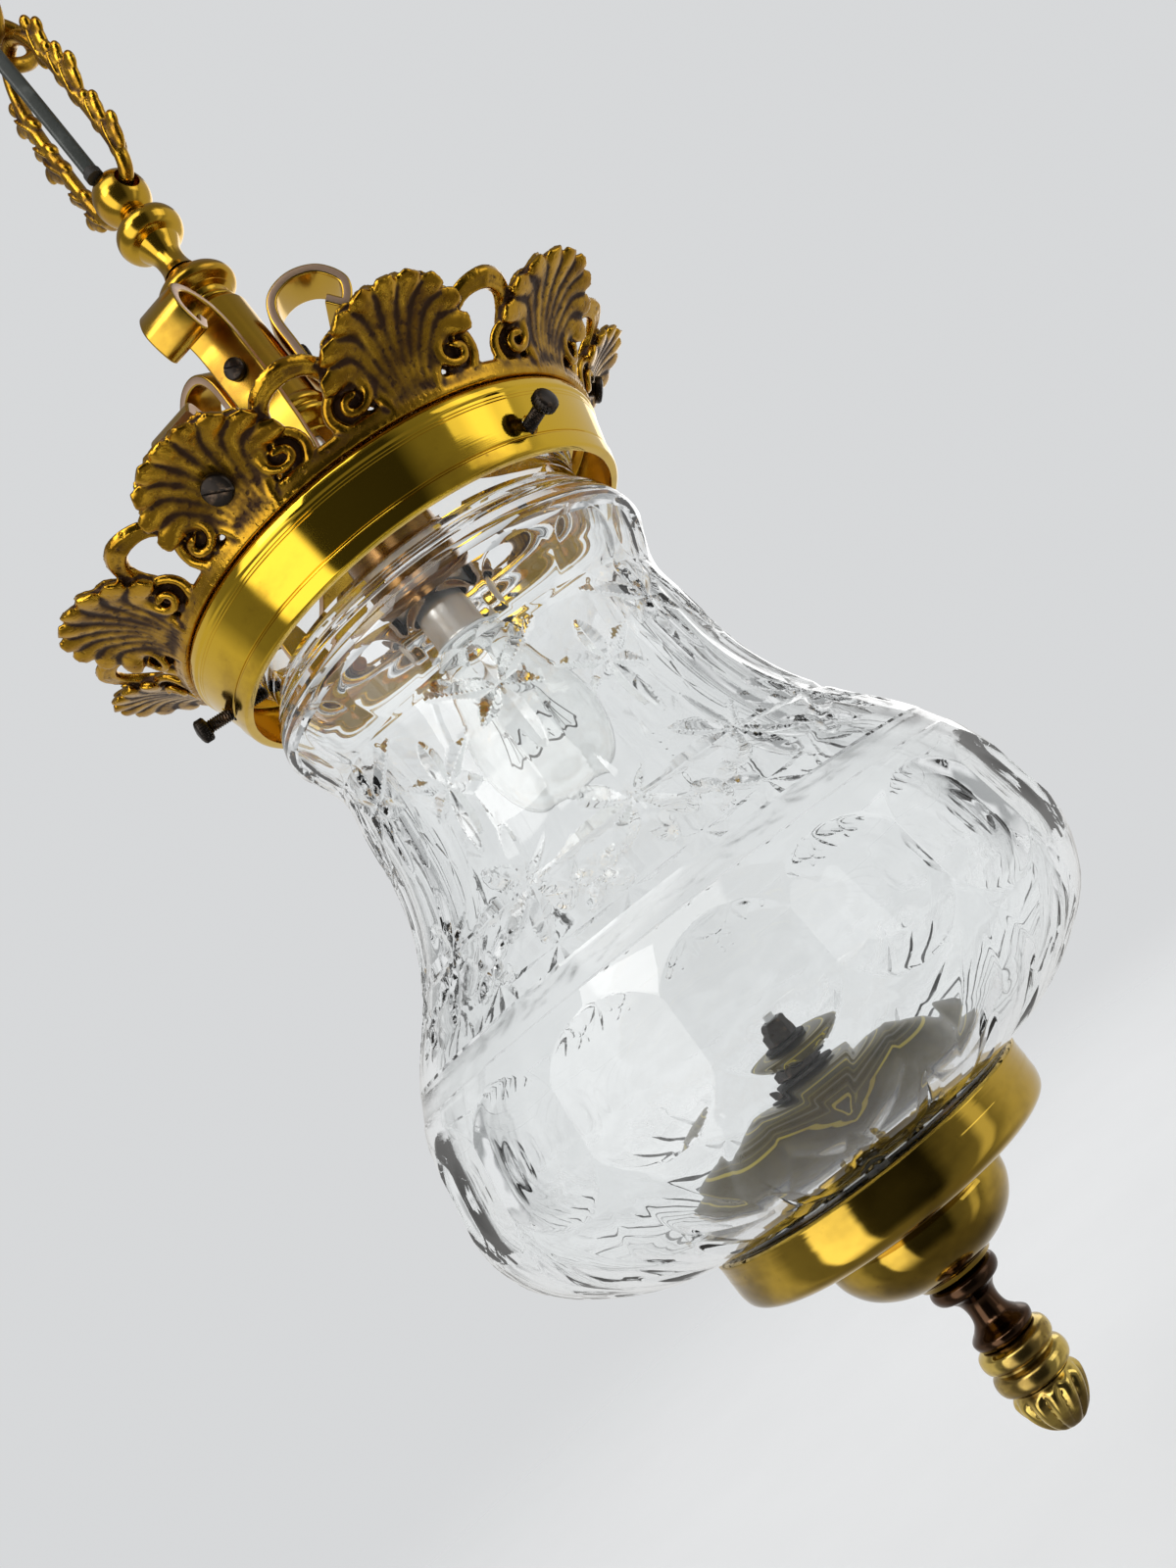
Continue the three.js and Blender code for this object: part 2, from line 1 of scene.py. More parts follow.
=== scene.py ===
# %% [markdown]
# # A hanging sanctuary lamp in brass and cut crystal
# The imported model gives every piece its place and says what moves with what. This notebook loads it as
# a fixed frame, and then makes the fine surface of each piece round it: turned, bent and cast brass,
# a cut and polished glass, a flat twin cable. Lengths are millimetres in the recipes, and metres in
# Blender, so every helper multiplies by MM once.

# %% Load the frame
import json
import math

import bpy
import numpy as np
from mathutils import Matrix, Vector


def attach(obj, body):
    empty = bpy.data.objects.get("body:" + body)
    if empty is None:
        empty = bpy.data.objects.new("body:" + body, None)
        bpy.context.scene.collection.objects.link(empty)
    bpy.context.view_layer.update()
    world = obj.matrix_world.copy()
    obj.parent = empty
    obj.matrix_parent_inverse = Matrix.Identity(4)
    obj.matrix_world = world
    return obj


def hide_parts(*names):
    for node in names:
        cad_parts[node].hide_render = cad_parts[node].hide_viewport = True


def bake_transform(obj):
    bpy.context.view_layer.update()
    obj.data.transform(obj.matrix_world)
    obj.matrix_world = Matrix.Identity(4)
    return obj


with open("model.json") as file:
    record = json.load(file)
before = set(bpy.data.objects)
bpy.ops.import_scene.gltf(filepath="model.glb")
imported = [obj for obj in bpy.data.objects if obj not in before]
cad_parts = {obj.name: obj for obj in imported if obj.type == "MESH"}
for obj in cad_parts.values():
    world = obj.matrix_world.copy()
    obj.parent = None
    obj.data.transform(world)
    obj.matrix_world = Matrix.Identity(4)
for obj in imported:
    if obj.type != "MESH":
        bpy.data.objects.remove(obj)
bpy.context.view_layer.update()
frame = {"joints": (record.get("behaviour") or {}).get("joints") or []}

MM = 0.001

# %% [markdown]
# ## Where things are
# The lantern swings on the stem ball, so the swing joint's place is the ball's middle. Every depth below
# is measured downwards from it, and every radius from the lamp's axis. Azimuth 0 is the front, which
# faces -Y, and it grows towards +X.

# %% Places
joints = {joint["name"]: joint for joint in frame["joints"]}
BALL_Z = joints["lantern_swing"]["pos_m"][2] / MM
HOOK_Z = joints["ring_swing"]["pos_m"][2] / MM
RING_Z = joints["link_swing"]["pos_m"][2] / MM
ARM_AZIMUTHS = [-17.5 + 120 * i for i in range(3)]
SCREW_AZIMUTHS = [45 + 120 * i for i in range(3)]
FAN_COUNT = 9
SUSPENSION_TURN = math.radians(-50)
LINK_SIDE = np.array([math.cos(SUSPENSION_TURN), math.sin(SUSPENSION_TURN), 0.0])
LINK_FACE = np.array([-math.sin(SUSPENSION_TURN), math.cos(SUSPENSION_TURN), 0.0])


def place(r, depth, azimuth=0.0):
    """A point in millimetres from a radius, a depth and an azimuth in degrees."""
    a = math.radians(azimuth)
    return Vector((r * math.sin(a), -r * math.cos(a), BALL_Z - depth))


# %% [markdown]
# ## The camera
# The lamp is seen from close by and a little from below. The camera is rolled, so that the finial points
# to the lower right of the frame. It looks at a point on the axis in the upper part of the glass.

# %% Camera
LOOK_DEPTH = 220.3
CAMERA_DISTANCE = 360.0
CAMERA_TILT = math.radians(10)
ROLL_COS, ROLL_SIN = 0.788, 0.6157
LENS = 31.5

tilt_c, tilt_s = math.cos(CAMERA_TILT), math.sin(CAMERA_TILT)
forward = Vector((0, tilt_c, tilt_s))
right = Vector((ROLL_COS, ROLL_SIN * tilt_s, -ROLL_SIN * tilt_c))
up = Vector((ROLL_SIN, -ROLL_COS * tilt_s, ROLL_COS * tilt_c))
camera_data = bpy.data.cameras.new("camera")
camera_data.lens = LENS
camera_data.sensor_width = 36
camera = bpy.data.objects.new("camera", camera_data)
bpy.context.scene.collection.objects.link(camera)
spot = (Vector((2, 0, BALL_Z - LOOK_DEPTH)) - forward * CAMERA_DISTANCE) * MM
turn = Matrix((right, up, -forward)).transposed()
camera.matrix_world = Matrix.Translation(spot) @ turn.to_4x4()
camera_data.clip_start, camera_data.clip_end = 0.01, 20
bpy.context.scene.camera = camera
print("camera at", [round(c, 3) for c in spot])

# %% [markdown]
# ## Mesh helpers
# Most of the lamp is turned on a lathe, bent from strip, or cast. A grid of rings covers all three: a
# turned piece is an outline carried round the axis, a strip or a wire is a section carried along a line,
# and a casting is many such solids melted into one by a voxel remesh. Spinning with modifiers would do
# as well, but plain arrays are quicker and give the same mesh on every run.

# %% Meshes from arrays


def signed_volume(mesh):
    """Positive where a closed mesh's faces point outwards, as glass and every metal need."""
    mesh.calc_loop_triangles()
    corners = np.zeros(len(mesh.loop_triangles) * 3, np.int32)
    mesh.loop_triangles.foreach_get("vertices", corners)
    points = np.zeros(len(mesh.vertices) * 3)
    mesh.vertices.foreach_get("co", points)
    a, b, c = points.reshape(-1, 3)[corners].reshape(-1, 3, 3).transpose(1, 0, 2)
    return float(np.einsum("ij,ij->", a, np.cross(b, c)))


def make_object(name, verts, faces, smooth_angle=30):
    """A mesh object from points in millimetres, with its faces turned outwards."""
    mesh = bpy.data.meshes.new(name)
    mesh.from_pydata((np.asarray(verts, float) * MM).tolist(), [], faces)
    mesh.validate()
    mesh.update()
    if signed_volume(mesh) < 0:
        mesh.flip_normals()
    mesh.shade_smooth()
    mesh.set_sharp_from_angle(angle=math.radians(smooth_angle))
    obj = bpy.data.objects.new(name, mesh)
    bpy.context.scene.collection.objects.link(obj)
    return obj


def grid_faces(rows, columns, close_rows=False, flip=False):
    """Quads over rows of points that each close on themselves, with the last row joined to the first if
    `close_rows` says so."""
    r = np.arange(rows if close_rows else rows - 1)
    r, c = np.meshgrid(r, np.arange(columns), indexing="ij")
    r2, c2 = (r + 1) % rows, (c + 1) % columns
    quads = np.stack([r * columns + c, r * columns + c2, r2 * columns + c2, r2 * columns + c], -1)
    quads = quads.reshape(-1, 4)
    return (quads[:, ::-1] if flip else quads).tolist()


def bezier(a, control, b, steps):
    """A quadratic Bezier curve from a to b."""
    t = np.linspace(0, 1, steps + 1)[:, None]
    return (1 - t) ** 2 * a + 2 * t * (1 - t) * control + t**2 * b


def rounded(outline, radius=0.5, steps=3):
    """Takes the corners off an open outline of (radius, depth) points, as a polisher does."""
    points = [np.array(p, float) for p in outline]
    result = [points[0]]
    for before, corner, after in zip(points, points[1:], points[2:]):
        reach_in = min(radius, np.linalg.norm(before - corner) * 0.45)
        reach_out = min(radius, np.linalg.norm(after - corner) * 0.45)
        start = corner + (before - corner) / max(np.linalg.norm(before - corner), 1e-9) * reach_in
        end = corner + (after - corner) / max(np.linalg.norm(after - corner), 1e-9) * reach_out
        result.extend(bezier(start, corner, end, steps))
    return np.array([*result, points[-1]])


def spline(points, steps):
    """A Catmull-Rom curve through points of any dimension."""
    p = np.array(points, float)
    p = np.vstack([2 * p[0] - p[1], p, 2 * p[-1] - p[-2]])
    out = []
    spans = len(p) - 3
    for k in np.linspace(0, spans, steps + 1):
        i = min(int(k), spans - 1)
        t = k - i
        a, b, c, d = p[i : i + 4]
        squared, cubed = 2 * a - 5 * b + 4 * c - d, 3 * b - a - 3 * c + d
        out.append(0.5 * (2 * b + (c - a) * t + squared * t**2 + cubed * t**3))
    return np.array(out)


def turned(name, outline, segments=128, ripple=None, smooth_angle=30):
    """An outline of (radius, depth) points carried round the lamp's axis. Where it starts and ends on
    the axis it closes there, and otherwise it closes on itself."""
    outline = np.array(outline, float)
    on_axis = outline[0][0] < 1e-6
    body = outline[1:-1] if on_axis else outline
    angles = np.arange(segments) * 2 * math.pi / segments
    r = body[:, 0:1] * np.ones(segments)
    if ripple is not None:
        r = r * ripple(angles[None, :], body[:, 1:2])
    verts = np.stack([r * np.cos(angles), r * np.sin(angles), BALL_Z - body[:, 1:2] * np.ones(segments)], -1)
    verts = verts.reshape(-1, 3)
    faces = grid_faces(len(body), segments, close_rows=not on_axis, flip=True)
    if on_axis:
        top, bottom = len(verts), len(verts) + 1
        verts = np.vstack([verts, [0, 0, BALL_Z - outline[0][1]], [0, 0, BALL_Z - outline[-1][1]]])
        last = (len(body) - 1) * segments
        for k in range(segments):
            faces.append([top, (k + 1) % segments, k][::-1])
            faces.append([bottom, last + k, last + (k + 1) % segments][::-1])
    return make_object(name, verts, faces, smooth_angle)


def swept(name, line, section, scale=None, side=None, smooth_angle=35, closed=False):
    """A closed section carried along a line. `side` fixes the section's first axis, as on a flat strip,
    and without it the section turns with the line as little as it can."""
    verts, faces = swept_arrays(line, section, scale, side, closed)
    return make_object(name, verts, faces, smooth_angle)


def swept_arrays(line, section, scale=None, side=None, closed=False):
    """The points and faces of a swept piece, for pieces that are melted together later."""
    line = np.array(line, float)
    count = len(line)
    if closed:
        tangents = np.roll(line, -1, 0) - np.roll(line, 1, 0)
    else:
        tangents = np.gradient(line, axis=0)
    tangents /= np.linalg.norm(tangents, axis=1)[:, None]
    section = np.array(section, float)
    scale = np.ones(count) if scale is None else np.array(scale, float)
    first = np.array(side, float) if side is not None else np.cross(tangents[0], [0.31, 0.17, 0.93])
    rings = []
    for point, tangent, size in zip(line, tangents, scale):
        first = first - tangent * np.dot(first, tangent)
        first /= np.linalg.norm(first)
        second = np.cross(tangent, first)
        rings.append(point + size * (section[:, 0:1] * first + section[:, 1:2] * second))
        if side is not None:
            first = np.array(side, float)
    verts = np.concatenate(rings)
    n = len(section)
    faces = grid_faces(count, n, close_rows=closed)
    if not closed:
        faces.append(list(range(n))[::-1])
        faces.append([(count - 1) * n + k for k in range(n)])
    return verts, faces


def circle(r, sides=16):
    a = np.arange(sides) * 2 * math.pi / sides
    return np.stack([r * np.cos(a), r * np.sin(a)], -1)


def merged(parts):
    """Joins (verts, faces) pairs into one pair."""
    verts, faces, start = [], [], 0
    for v, f in parts:
        verts.append(np.asarray(v, float))
        faces.extend([[k + start for k in face] for face in f])
        start += len(v)
    return np.concatenate(verts), faces


def applied(obj):
    """Replaces an object's mesh by what its modifiers make of it."""
    graph = bpy.context.evaluated_depsgraph_get()
    mesh = bpy.data.meshes.new_from_object(obj.evaluated_get(graph))
    obj.modifiers.clear()
    obj.data = mesh
    return obj


def ball_arrays(centre, radii, axes=None, rows=10, columns=14):
    """An ellipsoid, with its own axes if they are given."""
    t = np.linspace(0, math.pi, rows + 2)[1:-1]
    a = np.arange(columns) * 2 * math.pi / columns
    unit = np.stack([np.outer(np.sin(t), np.cos(a)), np.outer(np.sin(t), np.sin(a)),
                     np.outer(np.cos(t), np.ones(columns))], -1).reshape(-1, 3)
    unit = np.vstack([unit, [0, 0, 1], [0, 0, -1]])
    faces = grid_faces(rows, columns, flip=True)
    top, bottom, last = rows * columns, rows * columns + 1, (rows - 1) * columns
    for k in range(columns):
        faces.append([top, k, (k + 1) % columns])
        faces.append([bottom, last + (k + 1) % columns, last + k])
    local = unit * np.array(radii, float)
    frame_axes = np.eye(3) if axes is None else np.array(axes, float)
    return local @ frame_axes + np.array(centre, float), faces


# %% [markdown]
# A casting has soft corners, and its hollows are painted darker, partly for the wax and grime that stay there
# and partly as painted shade. The voxel remesh melts the modelled parts together, a few rounds of smoothing
# soften them, and the same neighbour averages then say how hollow each point is. That number is kept on the
# mesh, so that the gilding material can use it anywhere.

# %% Castings


def neighbours(mesh):
    """The mesh's edges, and how many of them meet at each point."""
    edges = np.zeros(len(mesh.edges) * 2, int)
    mesh.edges.foreach_get("vertices", edges)
    edges = edges.reshape(-1, 2)
    degree = np.bincount(edges.ravel(), minlength=len(mesh.vertices)).astype(float)
    return edges, np.maximum(degree, 1)[:, None]


def averaged(values, edges, degree):
    """Each point's mean over its neighbours."""
    total = np.zeros_like(values)
    np.add.at(total, edges[:, 0], values[edges[:, 1]])
    np.add.at(total, edges[:, 1], values[edges[:, 0]])
    return total / degree


def mark_hollows(obj, reach, gain):
    """Stores how far each point lies below its surroundings, from 0 on a ridge to 1 in a hollow."""
    mesh = obj.data
    count = len(mesh.vertices)
    points = np.zeros(count * 3)
    mesh.vertices.foreach_get("co", points)
    points = points.reshape(-1, 3) / MM
    normals = np.zeros(count * 3, np.float32)
    mesh.vertices.foreach_get("normal", normals)
    edges, degree = neighbours(mesh)
    spread = points.copy()
    for _ in range(reach):
        spread = averaged(spread, edges, degree)
    sunk = np.sum((spread - points) * normals.reshape(-1, 3), axis=1)
    hollow = np.clip(0.5 + sunk * gain, 0, 1).astype(np.float32)
    attribute = mesh.attributes.new("hollow", "FLOAT", "POINT")
    attribute.data.foreach_set("value", hollow)


def cast(name, parts, voxel, reach, gain, smoothing=1):
    """Melts closed parts into one casting, softens it and marks its hollows."""
    verts, faces = merged(parts)
    obj = make_object(name, verts, faces)
    remesh = obj.modifiers.new("melt", "REMESH")
    remesh.mode = "VOXEL"
    remesh.voxel_size = voxel * MM
    applied(obj)
    mesh = obj.data
    edges, degree = neighbours(mesh)
    points = np.zeros(len(mesh.vertices) * 3)
    mesh.vertices.foreach_get("co", points)
    points = points.reshape(-1, 3)
    for _ in range(smoothing):
        points = points * 0.5 + averaged(points, edges, degree) * 0.5
    mesh.vertices.foreach_set("co", points.ravel())
    mesh.update()
    mesh.shade_smooth()
    mark_hollows(obj, reach, gain)
    print(name, len(mesh.vertices), "points")
    return obj


# %% [markdown]
# ## Shader helpers
# A material is easier to read as a formula than as a net of wires. `Socket` wraps one output socket, and
# Python's operators on it add Math nodes. `Finish` makes the material, adds any other node by its type,
# and ends in one surface shader.

# %% Sockets that take part in sums


class Socket:
    """A number or colour that flows through a material, with the operators of a Python number."""

    def __init__(self, finish, socket):
        self.finish, self.socket = finish, socket

    def maths(self, operation, *values):
        return self.finish.add("ShaderNodeMath", {"operation": operation}, *values)

    def __add__(self, other):
        return self.maths("ADD", self, other)

    def __sub__(self, other):
        return self.maths("SUBTRACT", self, other)

    def __rsub__(self, other):
        return self.maths("SUBTRACT", other, self)

    def __mul__(self, other):
        return self.maths("MULTIPLY", self, other)

    def __truediv__(self, other):
        return self.maths("DIVIDE", self, other)

    __radd__ = __add__
    __rmul__ = __mul__

    def ease(self, low, high):
        """0 below low, 1 above high, and smooth between them."""
        settings = {"interpolation_type": "SMOOTHSTEP"}
        return self.finish.add("ShaderNodeMapRange", settings, self, low, high, 0.0, 1.0)


class Finish:
    """One material, built from its coordinates up to its surface."""

    def __init__(self, name):
        self.material = bpy.data.materials.new(name)
        self.material.use_nodes = True
        self.tree = self.material.node_tree
        self.tree.nodes.clear()
        self.out = self.tree.nodes.new("ShaderNodeOutputMaterial")

    def feed(self, target, value):
        if isinstance(value, Socket):
            self.tree.links.new(value.socket, target)
        else:
            target.default_value = value

    def add(self, kind, settings=None, *inputs, out=0, **named):
        """Adds a node: its settings first, then its sockets by place or by name."""
        node = self.tree.nodes.new(kind)
        for key, value in (settings or {}).items():
            if key == "stops":
                self.set_stops(node.color_ramp, value)
            else:
                setattr(node, key, value)
        for target, value in zip([s for s in node.inputs if s.enabled], inputs):
            self.feed(target, value)
        for key, value in named.items():
            self.feed(node.inputs[key.replace("_", " ")], value)
        return Socket(self, node.outputs[out])

    @staticmethod
    def set_stops(ramp, stops):
        for element, (at, colour) in zip(ramp.elements, stops):
            element.position, element.color = at, (*colour, 1)
        for at, colour in stops[2:]:
            ramp.elements.new(at).color = (*colour, 1)

    def blend(self, factor, first, second):
        """Mixes two colours by a factor."""
        node = self.tree.nodes.new("ShaderNodeMix")
        node.data_type = "RGBA"
        colours = [s for s in node.inputs if s.type == "RGBA"]
        self.feed(node.inputs[0], factor)
        for target, value in zip(colours, (first, second)):
            self.feed(target, value if isinstance(value, Socket) else (*value, 1))
        return Socket(self, next(s for s in node.outputs if s.type == "RGBA"))

    def here(self):
        return self.add("ShaderNodeTexCoord", out="Object")

    def stretched(self, x, y, z, turn=(0, 0, 0)):
        """The piece's own coordinates, scaled along each axis. A big number makes fine detail."""
        return self.add("ShaderNodeMapping", None, Vector=self.here(), Scale=(x, y, z), Rotation=turn)

    def split(self, vector):
        """The three numbers of a vector."""
        node = self.tree.nodes.new("ShaderNodeSeparateXYZ")
        self.feed(node.inputs[0], vector)
        return [Socket(self, s) for s in node.outputs]

    def root(self, value):
        return value.maths("SQRT", value)

    def turning(self, radial, along):
        """Coordinates that are the same all the way round the lamp, as a lathe tool leaves them."""
        x, y, z = self.split(self.here())
        return self.add("ShaderNodeCombineXYZ", None, self.root(x * x + y * y) * radial, z * along, 0.0)

    def noise(self, where, scale, detail=3.0, rough=0.5):
        return self.add("ShaderNodeTexNoise", None, Vector=where, Scale=scale, Detail=detail, Roughness=rough)

    def bump(self, height, distance, strength=1.0):
        return self.add("ShaderNodeBump", None, Strength=strength, Distance=distance, Height=height)

    def surface(self, **sockets):
        shader = self.add("ShaderNodeBsdfPrincipled", None, **sockets)
        self.tree.links.new(shader.socket, self.out.inputs["Surface"])
        return self.material


# %% [markdown]
# ## Brass, polished
# Turned brass that has been polished and then left: deep gold, soft brown clouds of tarnish, fine rings
# from the lathe, and a haze of handling marks. It is a full metal, so its colour is all in the
# reflection. The tarnish darkens it and makes it duller, and the rings are a very shallow bump.

# %% Brass materials


def brass(name, bright, stained, roughness, rings=0.35, stain=(0.50, 0.74), cloud=26.0, dulling=0.13):
    """`stain` is the range of the cloud noise over which tarnish sets in, and `dulling` how much rougher
    the tarnish is than bare metal."""
    f = Finish(name)
    clouds = f.noise(f.stretched(1, 1, 1.6), cloud, 5.0, 0.6)
    tarnish = clouds.ease(*stain)
    specks = f.noise(f.here(), 420.0, 2.0).ease(0.64, 0.76) * 0.5
    smears = f.noise(f.stretched(60, 60, 9), 1.0, 4.0, 0.6)
    lathe = f.noise(f.turning(2600, 2600), 1.0, 2.0)
    colour = f.blend(tarnish * 0.75, bright, stained)
    colour = f.blend(specks * tarnish, colour, (0.10, 0.045, 0.012))
    rough = roughness + tarnish * dulling + smears * 0.05
    normal = f.bump(lathe * rings + smears * 0.10, 0.00002, 0.4)
    return f.surface(Base_Color=colour, Metallic=1.0, Roughness=rough, Normal=normal)


GOLD = (0.55, 0.33, 0.032)
polished = brass("polished_brass", GOLD, (0.42, 0.21, 0.025), 0.13)
ring_brass = brass("collar_brass", (0.70, 0.45, 0.034), (0.34, 0.19, 0.02), 0.055, rings=0.8,
                   stain=(0.49, 0.74))
cup_brass = brass("cup_brass", (0.55, 0.36, 0.05), (0.055, 0.032, 0.008), 0.05, rings=0.7,
                  stain=(0.41, 0.62), cloud=14.0, dulling=0.03)
finial_brass = brass("finial_brass", (0.68, 0.50, 0.13), (0.15, 0.09, 0.03), 0.07, rings=0.2,
                     stain=(0.42, 0.62), cloud=60.0)
strap_brass = brass("strap_brass", (0.54, 0.33, 0.04), (0.26, 0.125, 0.02), 0.14, rings=0.1)
# painted shade: the lampholder's brass is a dark brown, which stands for the shade inside the collar
shaded_holder_brass = brass("shaded_holder_brass", (0.22, 0.12, 0.045), (0.10, 0.05, 0.02), 0.22, rings=0.4)
filed_edge = brass("filed_edge", (0.72, 0.50, 0.36), (0.45, 0.28, 0.18), 0.26, rings=0.1)


def spun_dish():
    """Old olive brass with narrow bright rings painted in as a ring highlight."""
    f = Finish("spun_dish")
    # painted highlight: narrow bright rings by radius stand for a ring of reflected light on the dish
    painted_ring_highlight = f.noise(f.turning(520, 0), 1.0, 1.0).ease(0.56, 0.64)
    clouds = f.noise(f.here(), 60.0, 4.0, 0.6)
    olive = f.blend(clouds.ease(0.4, 0.7), (0.080, 0.057, 0.005), (0.045, 0.033, 0.004))
    colour = f.blend(painted_ring_highlight, olive, (0.46, 0.36, 0.03))
    normal = f.bump(f.noise(f.turning(2600, 2600), 1.0, 2.0), 0.00003, 0.4)
    return f.surface(Base_Color=colour, Metallic=1.0, Roughness=0.24 + clouds * 0.1, Normal=normal)


dish_brass = spun_dish()


def gilt_casting():
    """Antique gilt: brighter on the ridges and darker in the hollows, partly brown wax and soot and partly
    painted shade, sand-pitted.
    """
    f = Finish("antique_gilt")
    hollow = f.add("ShaderNodeAttribute", {"attribute_name": "hollow"}, out="Fac")
    patches = f.noise(f.here(), 130.0, 5.0, 0.65)
    grain = f.noise(f.here(), 900.0, 3.0, 0.6)
    pits = 1 - f.noise(f.here(), 620.0, 2.0, 0.5).ease(0.30, 0.44)
    # painted shade and grime: the hollow mask darkens the recesses as shade, and the patches and pits add
    # real grime
    dirt_and_shade = (hollow + (patches - 0.5) * 0.5 + pits * 0.10).ease(0.34, 0.68)
    colour = f.blend(patches.ease(0.4, 0.7), (0.52, 0.285, 0.022), (0.29, 0.14, 0.011))
    colour = f.blend(dirt_and_shade, colour, (0.040, 0.015, 0.004))
    rough = 0.13 + dirt_and_shade * 0.36 + grain * 0.10
    height = grain * 0.35 - pits * 0.5 + patches * 0.5
    normal = f.bump(height, 0.00016, 0.6)
    return f.surface(Base_Color=colour, Metallic=1.0 - dirt_and_shade * 0.35, Roughness=rough, Normal=normal)


gilt = gilt_casting()
bronze = brass("dark_bronze", (0.075, 0.040, 0.022), (0.030, 0.018, 0.012), 0.13, rings=0.3)


# %% [markdown]
# ## Dark steel, nickel, cable and rubber
# The screws are blackened steel whose blacking has worn to brown on the corners. The bulb's cap is
# nickel with upright streaks from the drawing die. The cable's jacket is a satin dark grey-green.

# %% Small materials


def blackened_steel():
    f = Finish("blackened_steel")
    worn = f.noise(f.here(), 260.0, 4.0, 0.6).ease(0.52, 0.72)
    colour = f.blend(worn, (0.030, 0.024, 0.020), (0.15, 0.10, 0.065))
    normal = f.bump(f.noise(f.here(), 900.0), 0.00008, 0.5)
    return f.surface(Base_Color=colour, Metallic=0.85, Roughness=0.36 - worn * 0.1, Normal=normal)


def drawn_nickel():
    f = Finish("drawn_nickel")
    streaks = f.noise(f.stretched(900, 900, 12), 1.0, 3.0)
    stains = f.noise(f.here(), 90.0, 4.0).ease(0.5, 0.75)
    colour = f.blend(stains, (0.93, 0.93, 0.92), (0.74, 0.73, 0.70))
    normal = f.bump(streaks, 0.00005, 0.4)
    return f.surface(Base_Color=colour, Metallic=0.8, Roughness=0.27 + streaks * 0.14, Normal=normal)


def plain_jacket(name, colour, lighter, roughness):
    f = Finish(name)
    dust = f.noise(f.here(), 180.0, 4.0, 0.6)
    tint = f.blend(dust.ease(0.45, 0.8), colour, lighter)
    normal = f.bump(f.noise(f.here(), 1200.0), 0.00005, 0.5)
    return f.surface(Base_Color=tint, Roughness=roughness + dust * 0.12, Normal=normal)


def tungsten():
    f = Finish("tungsten_wire")
    grain = f.noise(f.here(), 700.0)
    return f.surface(Base_Color=f.blend(grain, (0.20, 0.20, 0.21), (0.34, 0.33, 0.32)), Metallic=1.0,
                     Roughness=0.3 + grain * 0.1)


steel = blackened_steel()
nickel = drawn_nickel()
jacket = plain_jacket("cable_jacket", (0.030, 0.036, 0.032), (0.085, 0.095, 0.088), 0.36)
rubber = plain_jacket("black_rubber", (0.022, 0.020, 0.018), (0.05, 0.046, 0.042), 0.62)
tungsten_wire = tungsten()

# %% [markdown]
# ## Glass
# Lead crystal is water-clear and bends light more than window glass, so its cuts flash. The shader is
# plain: all the pattern is in the mesh. Only the ground band round the belly is matt, and the mesh
# carries that as a number per point.

# %% Glass materials


def crystal():
    f = Finish("lead_crystal")
    ground = f.add("ShaderNodeAttribute", {"attribute_name": "ground"}, out="Fac")
    wear = f.noise(f.here(), 700.0, 4.0, 0.6).ease(0.66, 0.8) * 0.04
    normal = f.bump(f.noise(f.here(), 55.0, 2.0), 0.00012, 0.25)
    return f.surface(Base_Color=(0.985, 0.995, 0.992, 1), Roughness=ground * 0.11 + wear, IOR=1.53,
                     Transmission_Weight=1.0, Normal=normal)


def thin_glass():
    f = Finish("bulb_glass")
    wear = f.noise(f.here(), 300.0, 3.0).ease(0.6, 0.8)
    return f.surface(Base_Color=(0.99, 0.995, 0.99, 1), Roughness=wear * 0.02, IOR=1.45,
                     Transmission_Weight=1.0)


crystal_glass = crystal()
bulb_clear = thin_glass()


# %% [markdown]
# ## Dressing a piece
# Every piece gets one finish, rides on the body that it belongs to, and hides the plain nodes that it stands
# for. Most of the lamp is turned brass, so that has a shorter form, which names the piece after its node.

# %% Finished pieces


def finish_piece(obj, body, slot, material, *nodes):
    """Dresses a piece, makes it ride on its body and hides the plain nodes that it stands for."""
    obj.data.materials.clear()
    obj.data.materials.append(material)
    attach(obj, body)
    if nodes:
        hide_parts(*nodes)
    return obj


def turned_brass(node, outline, material, segments=128, body="lantern"):
    piece = turned(f"{node}_fine", outline, segments)
    return finish_piece(piece, body, "polished_brass", material, node)


# %% [markdown]
# ## The stem
# A ball with a cross-hole for the chain link, a waisted spool, a mushroom disc and a long hub were
# turned as separate pieces and threaded on a hollow tube. Each outline follows the tool: a bead, a hollow
# and a sharp step at each joint, with the corners just broken.

# %% Stem pieces
BALL_R, CROSS_HOLE_R = 8.4, 3.6
ball_arc = np.linspace(0, 0.93 * math.pi, 40)
ball_outline = [(BALL_R * math.sin(t), -BALL_R * math.cos(t)) for t in ball_arc]
ball = turned("stem_ball_fine", [*ball_outline, (0, ball_outline[-1][1])], 96)
hole_line = [tuple(LINK_SIDE * x + [0, 0, BALL_Z]) for x in (-20, -7, 0, 7, 20)]
cutter = swept("ball_cutter", hole_line, circle(CROSS_HOLE_R, 48))
hole = ball.modifiers.new("cross_hole", "BOOLEAN")
hole.operation, hole.object, hole.solver = "DIFFERENCE", cutter, "EXACT"
applied(ball)
bpy.data.objects.remove(cutter)
ball.data.shade_smooth()
ball.data.set_sharp_from_angle(angle=math.radians(35))
finish_piece(ball, "lantern", "polished_brass", polished, "stem_ball")

spool_outline = np.vstack([
    rounded([(3.3, 7.9), (5.0, 7.9), (6.0, 10.2), (6.6, 10.6)], 0.6),
    spline([(6.6, 10.6), (9.2, 12.0), (10.1, 15.0), (9.0, 17.8), (6.6, 19.4)], 20),
    spline([(6.4, 19.8), (4.7, 23), (4.3, 26), (4.5, 28.6), (5.3, 31)], 16),
    [(3.3, 31.0)],
])
turned_brass("stem_spool", spool_outline, polished)

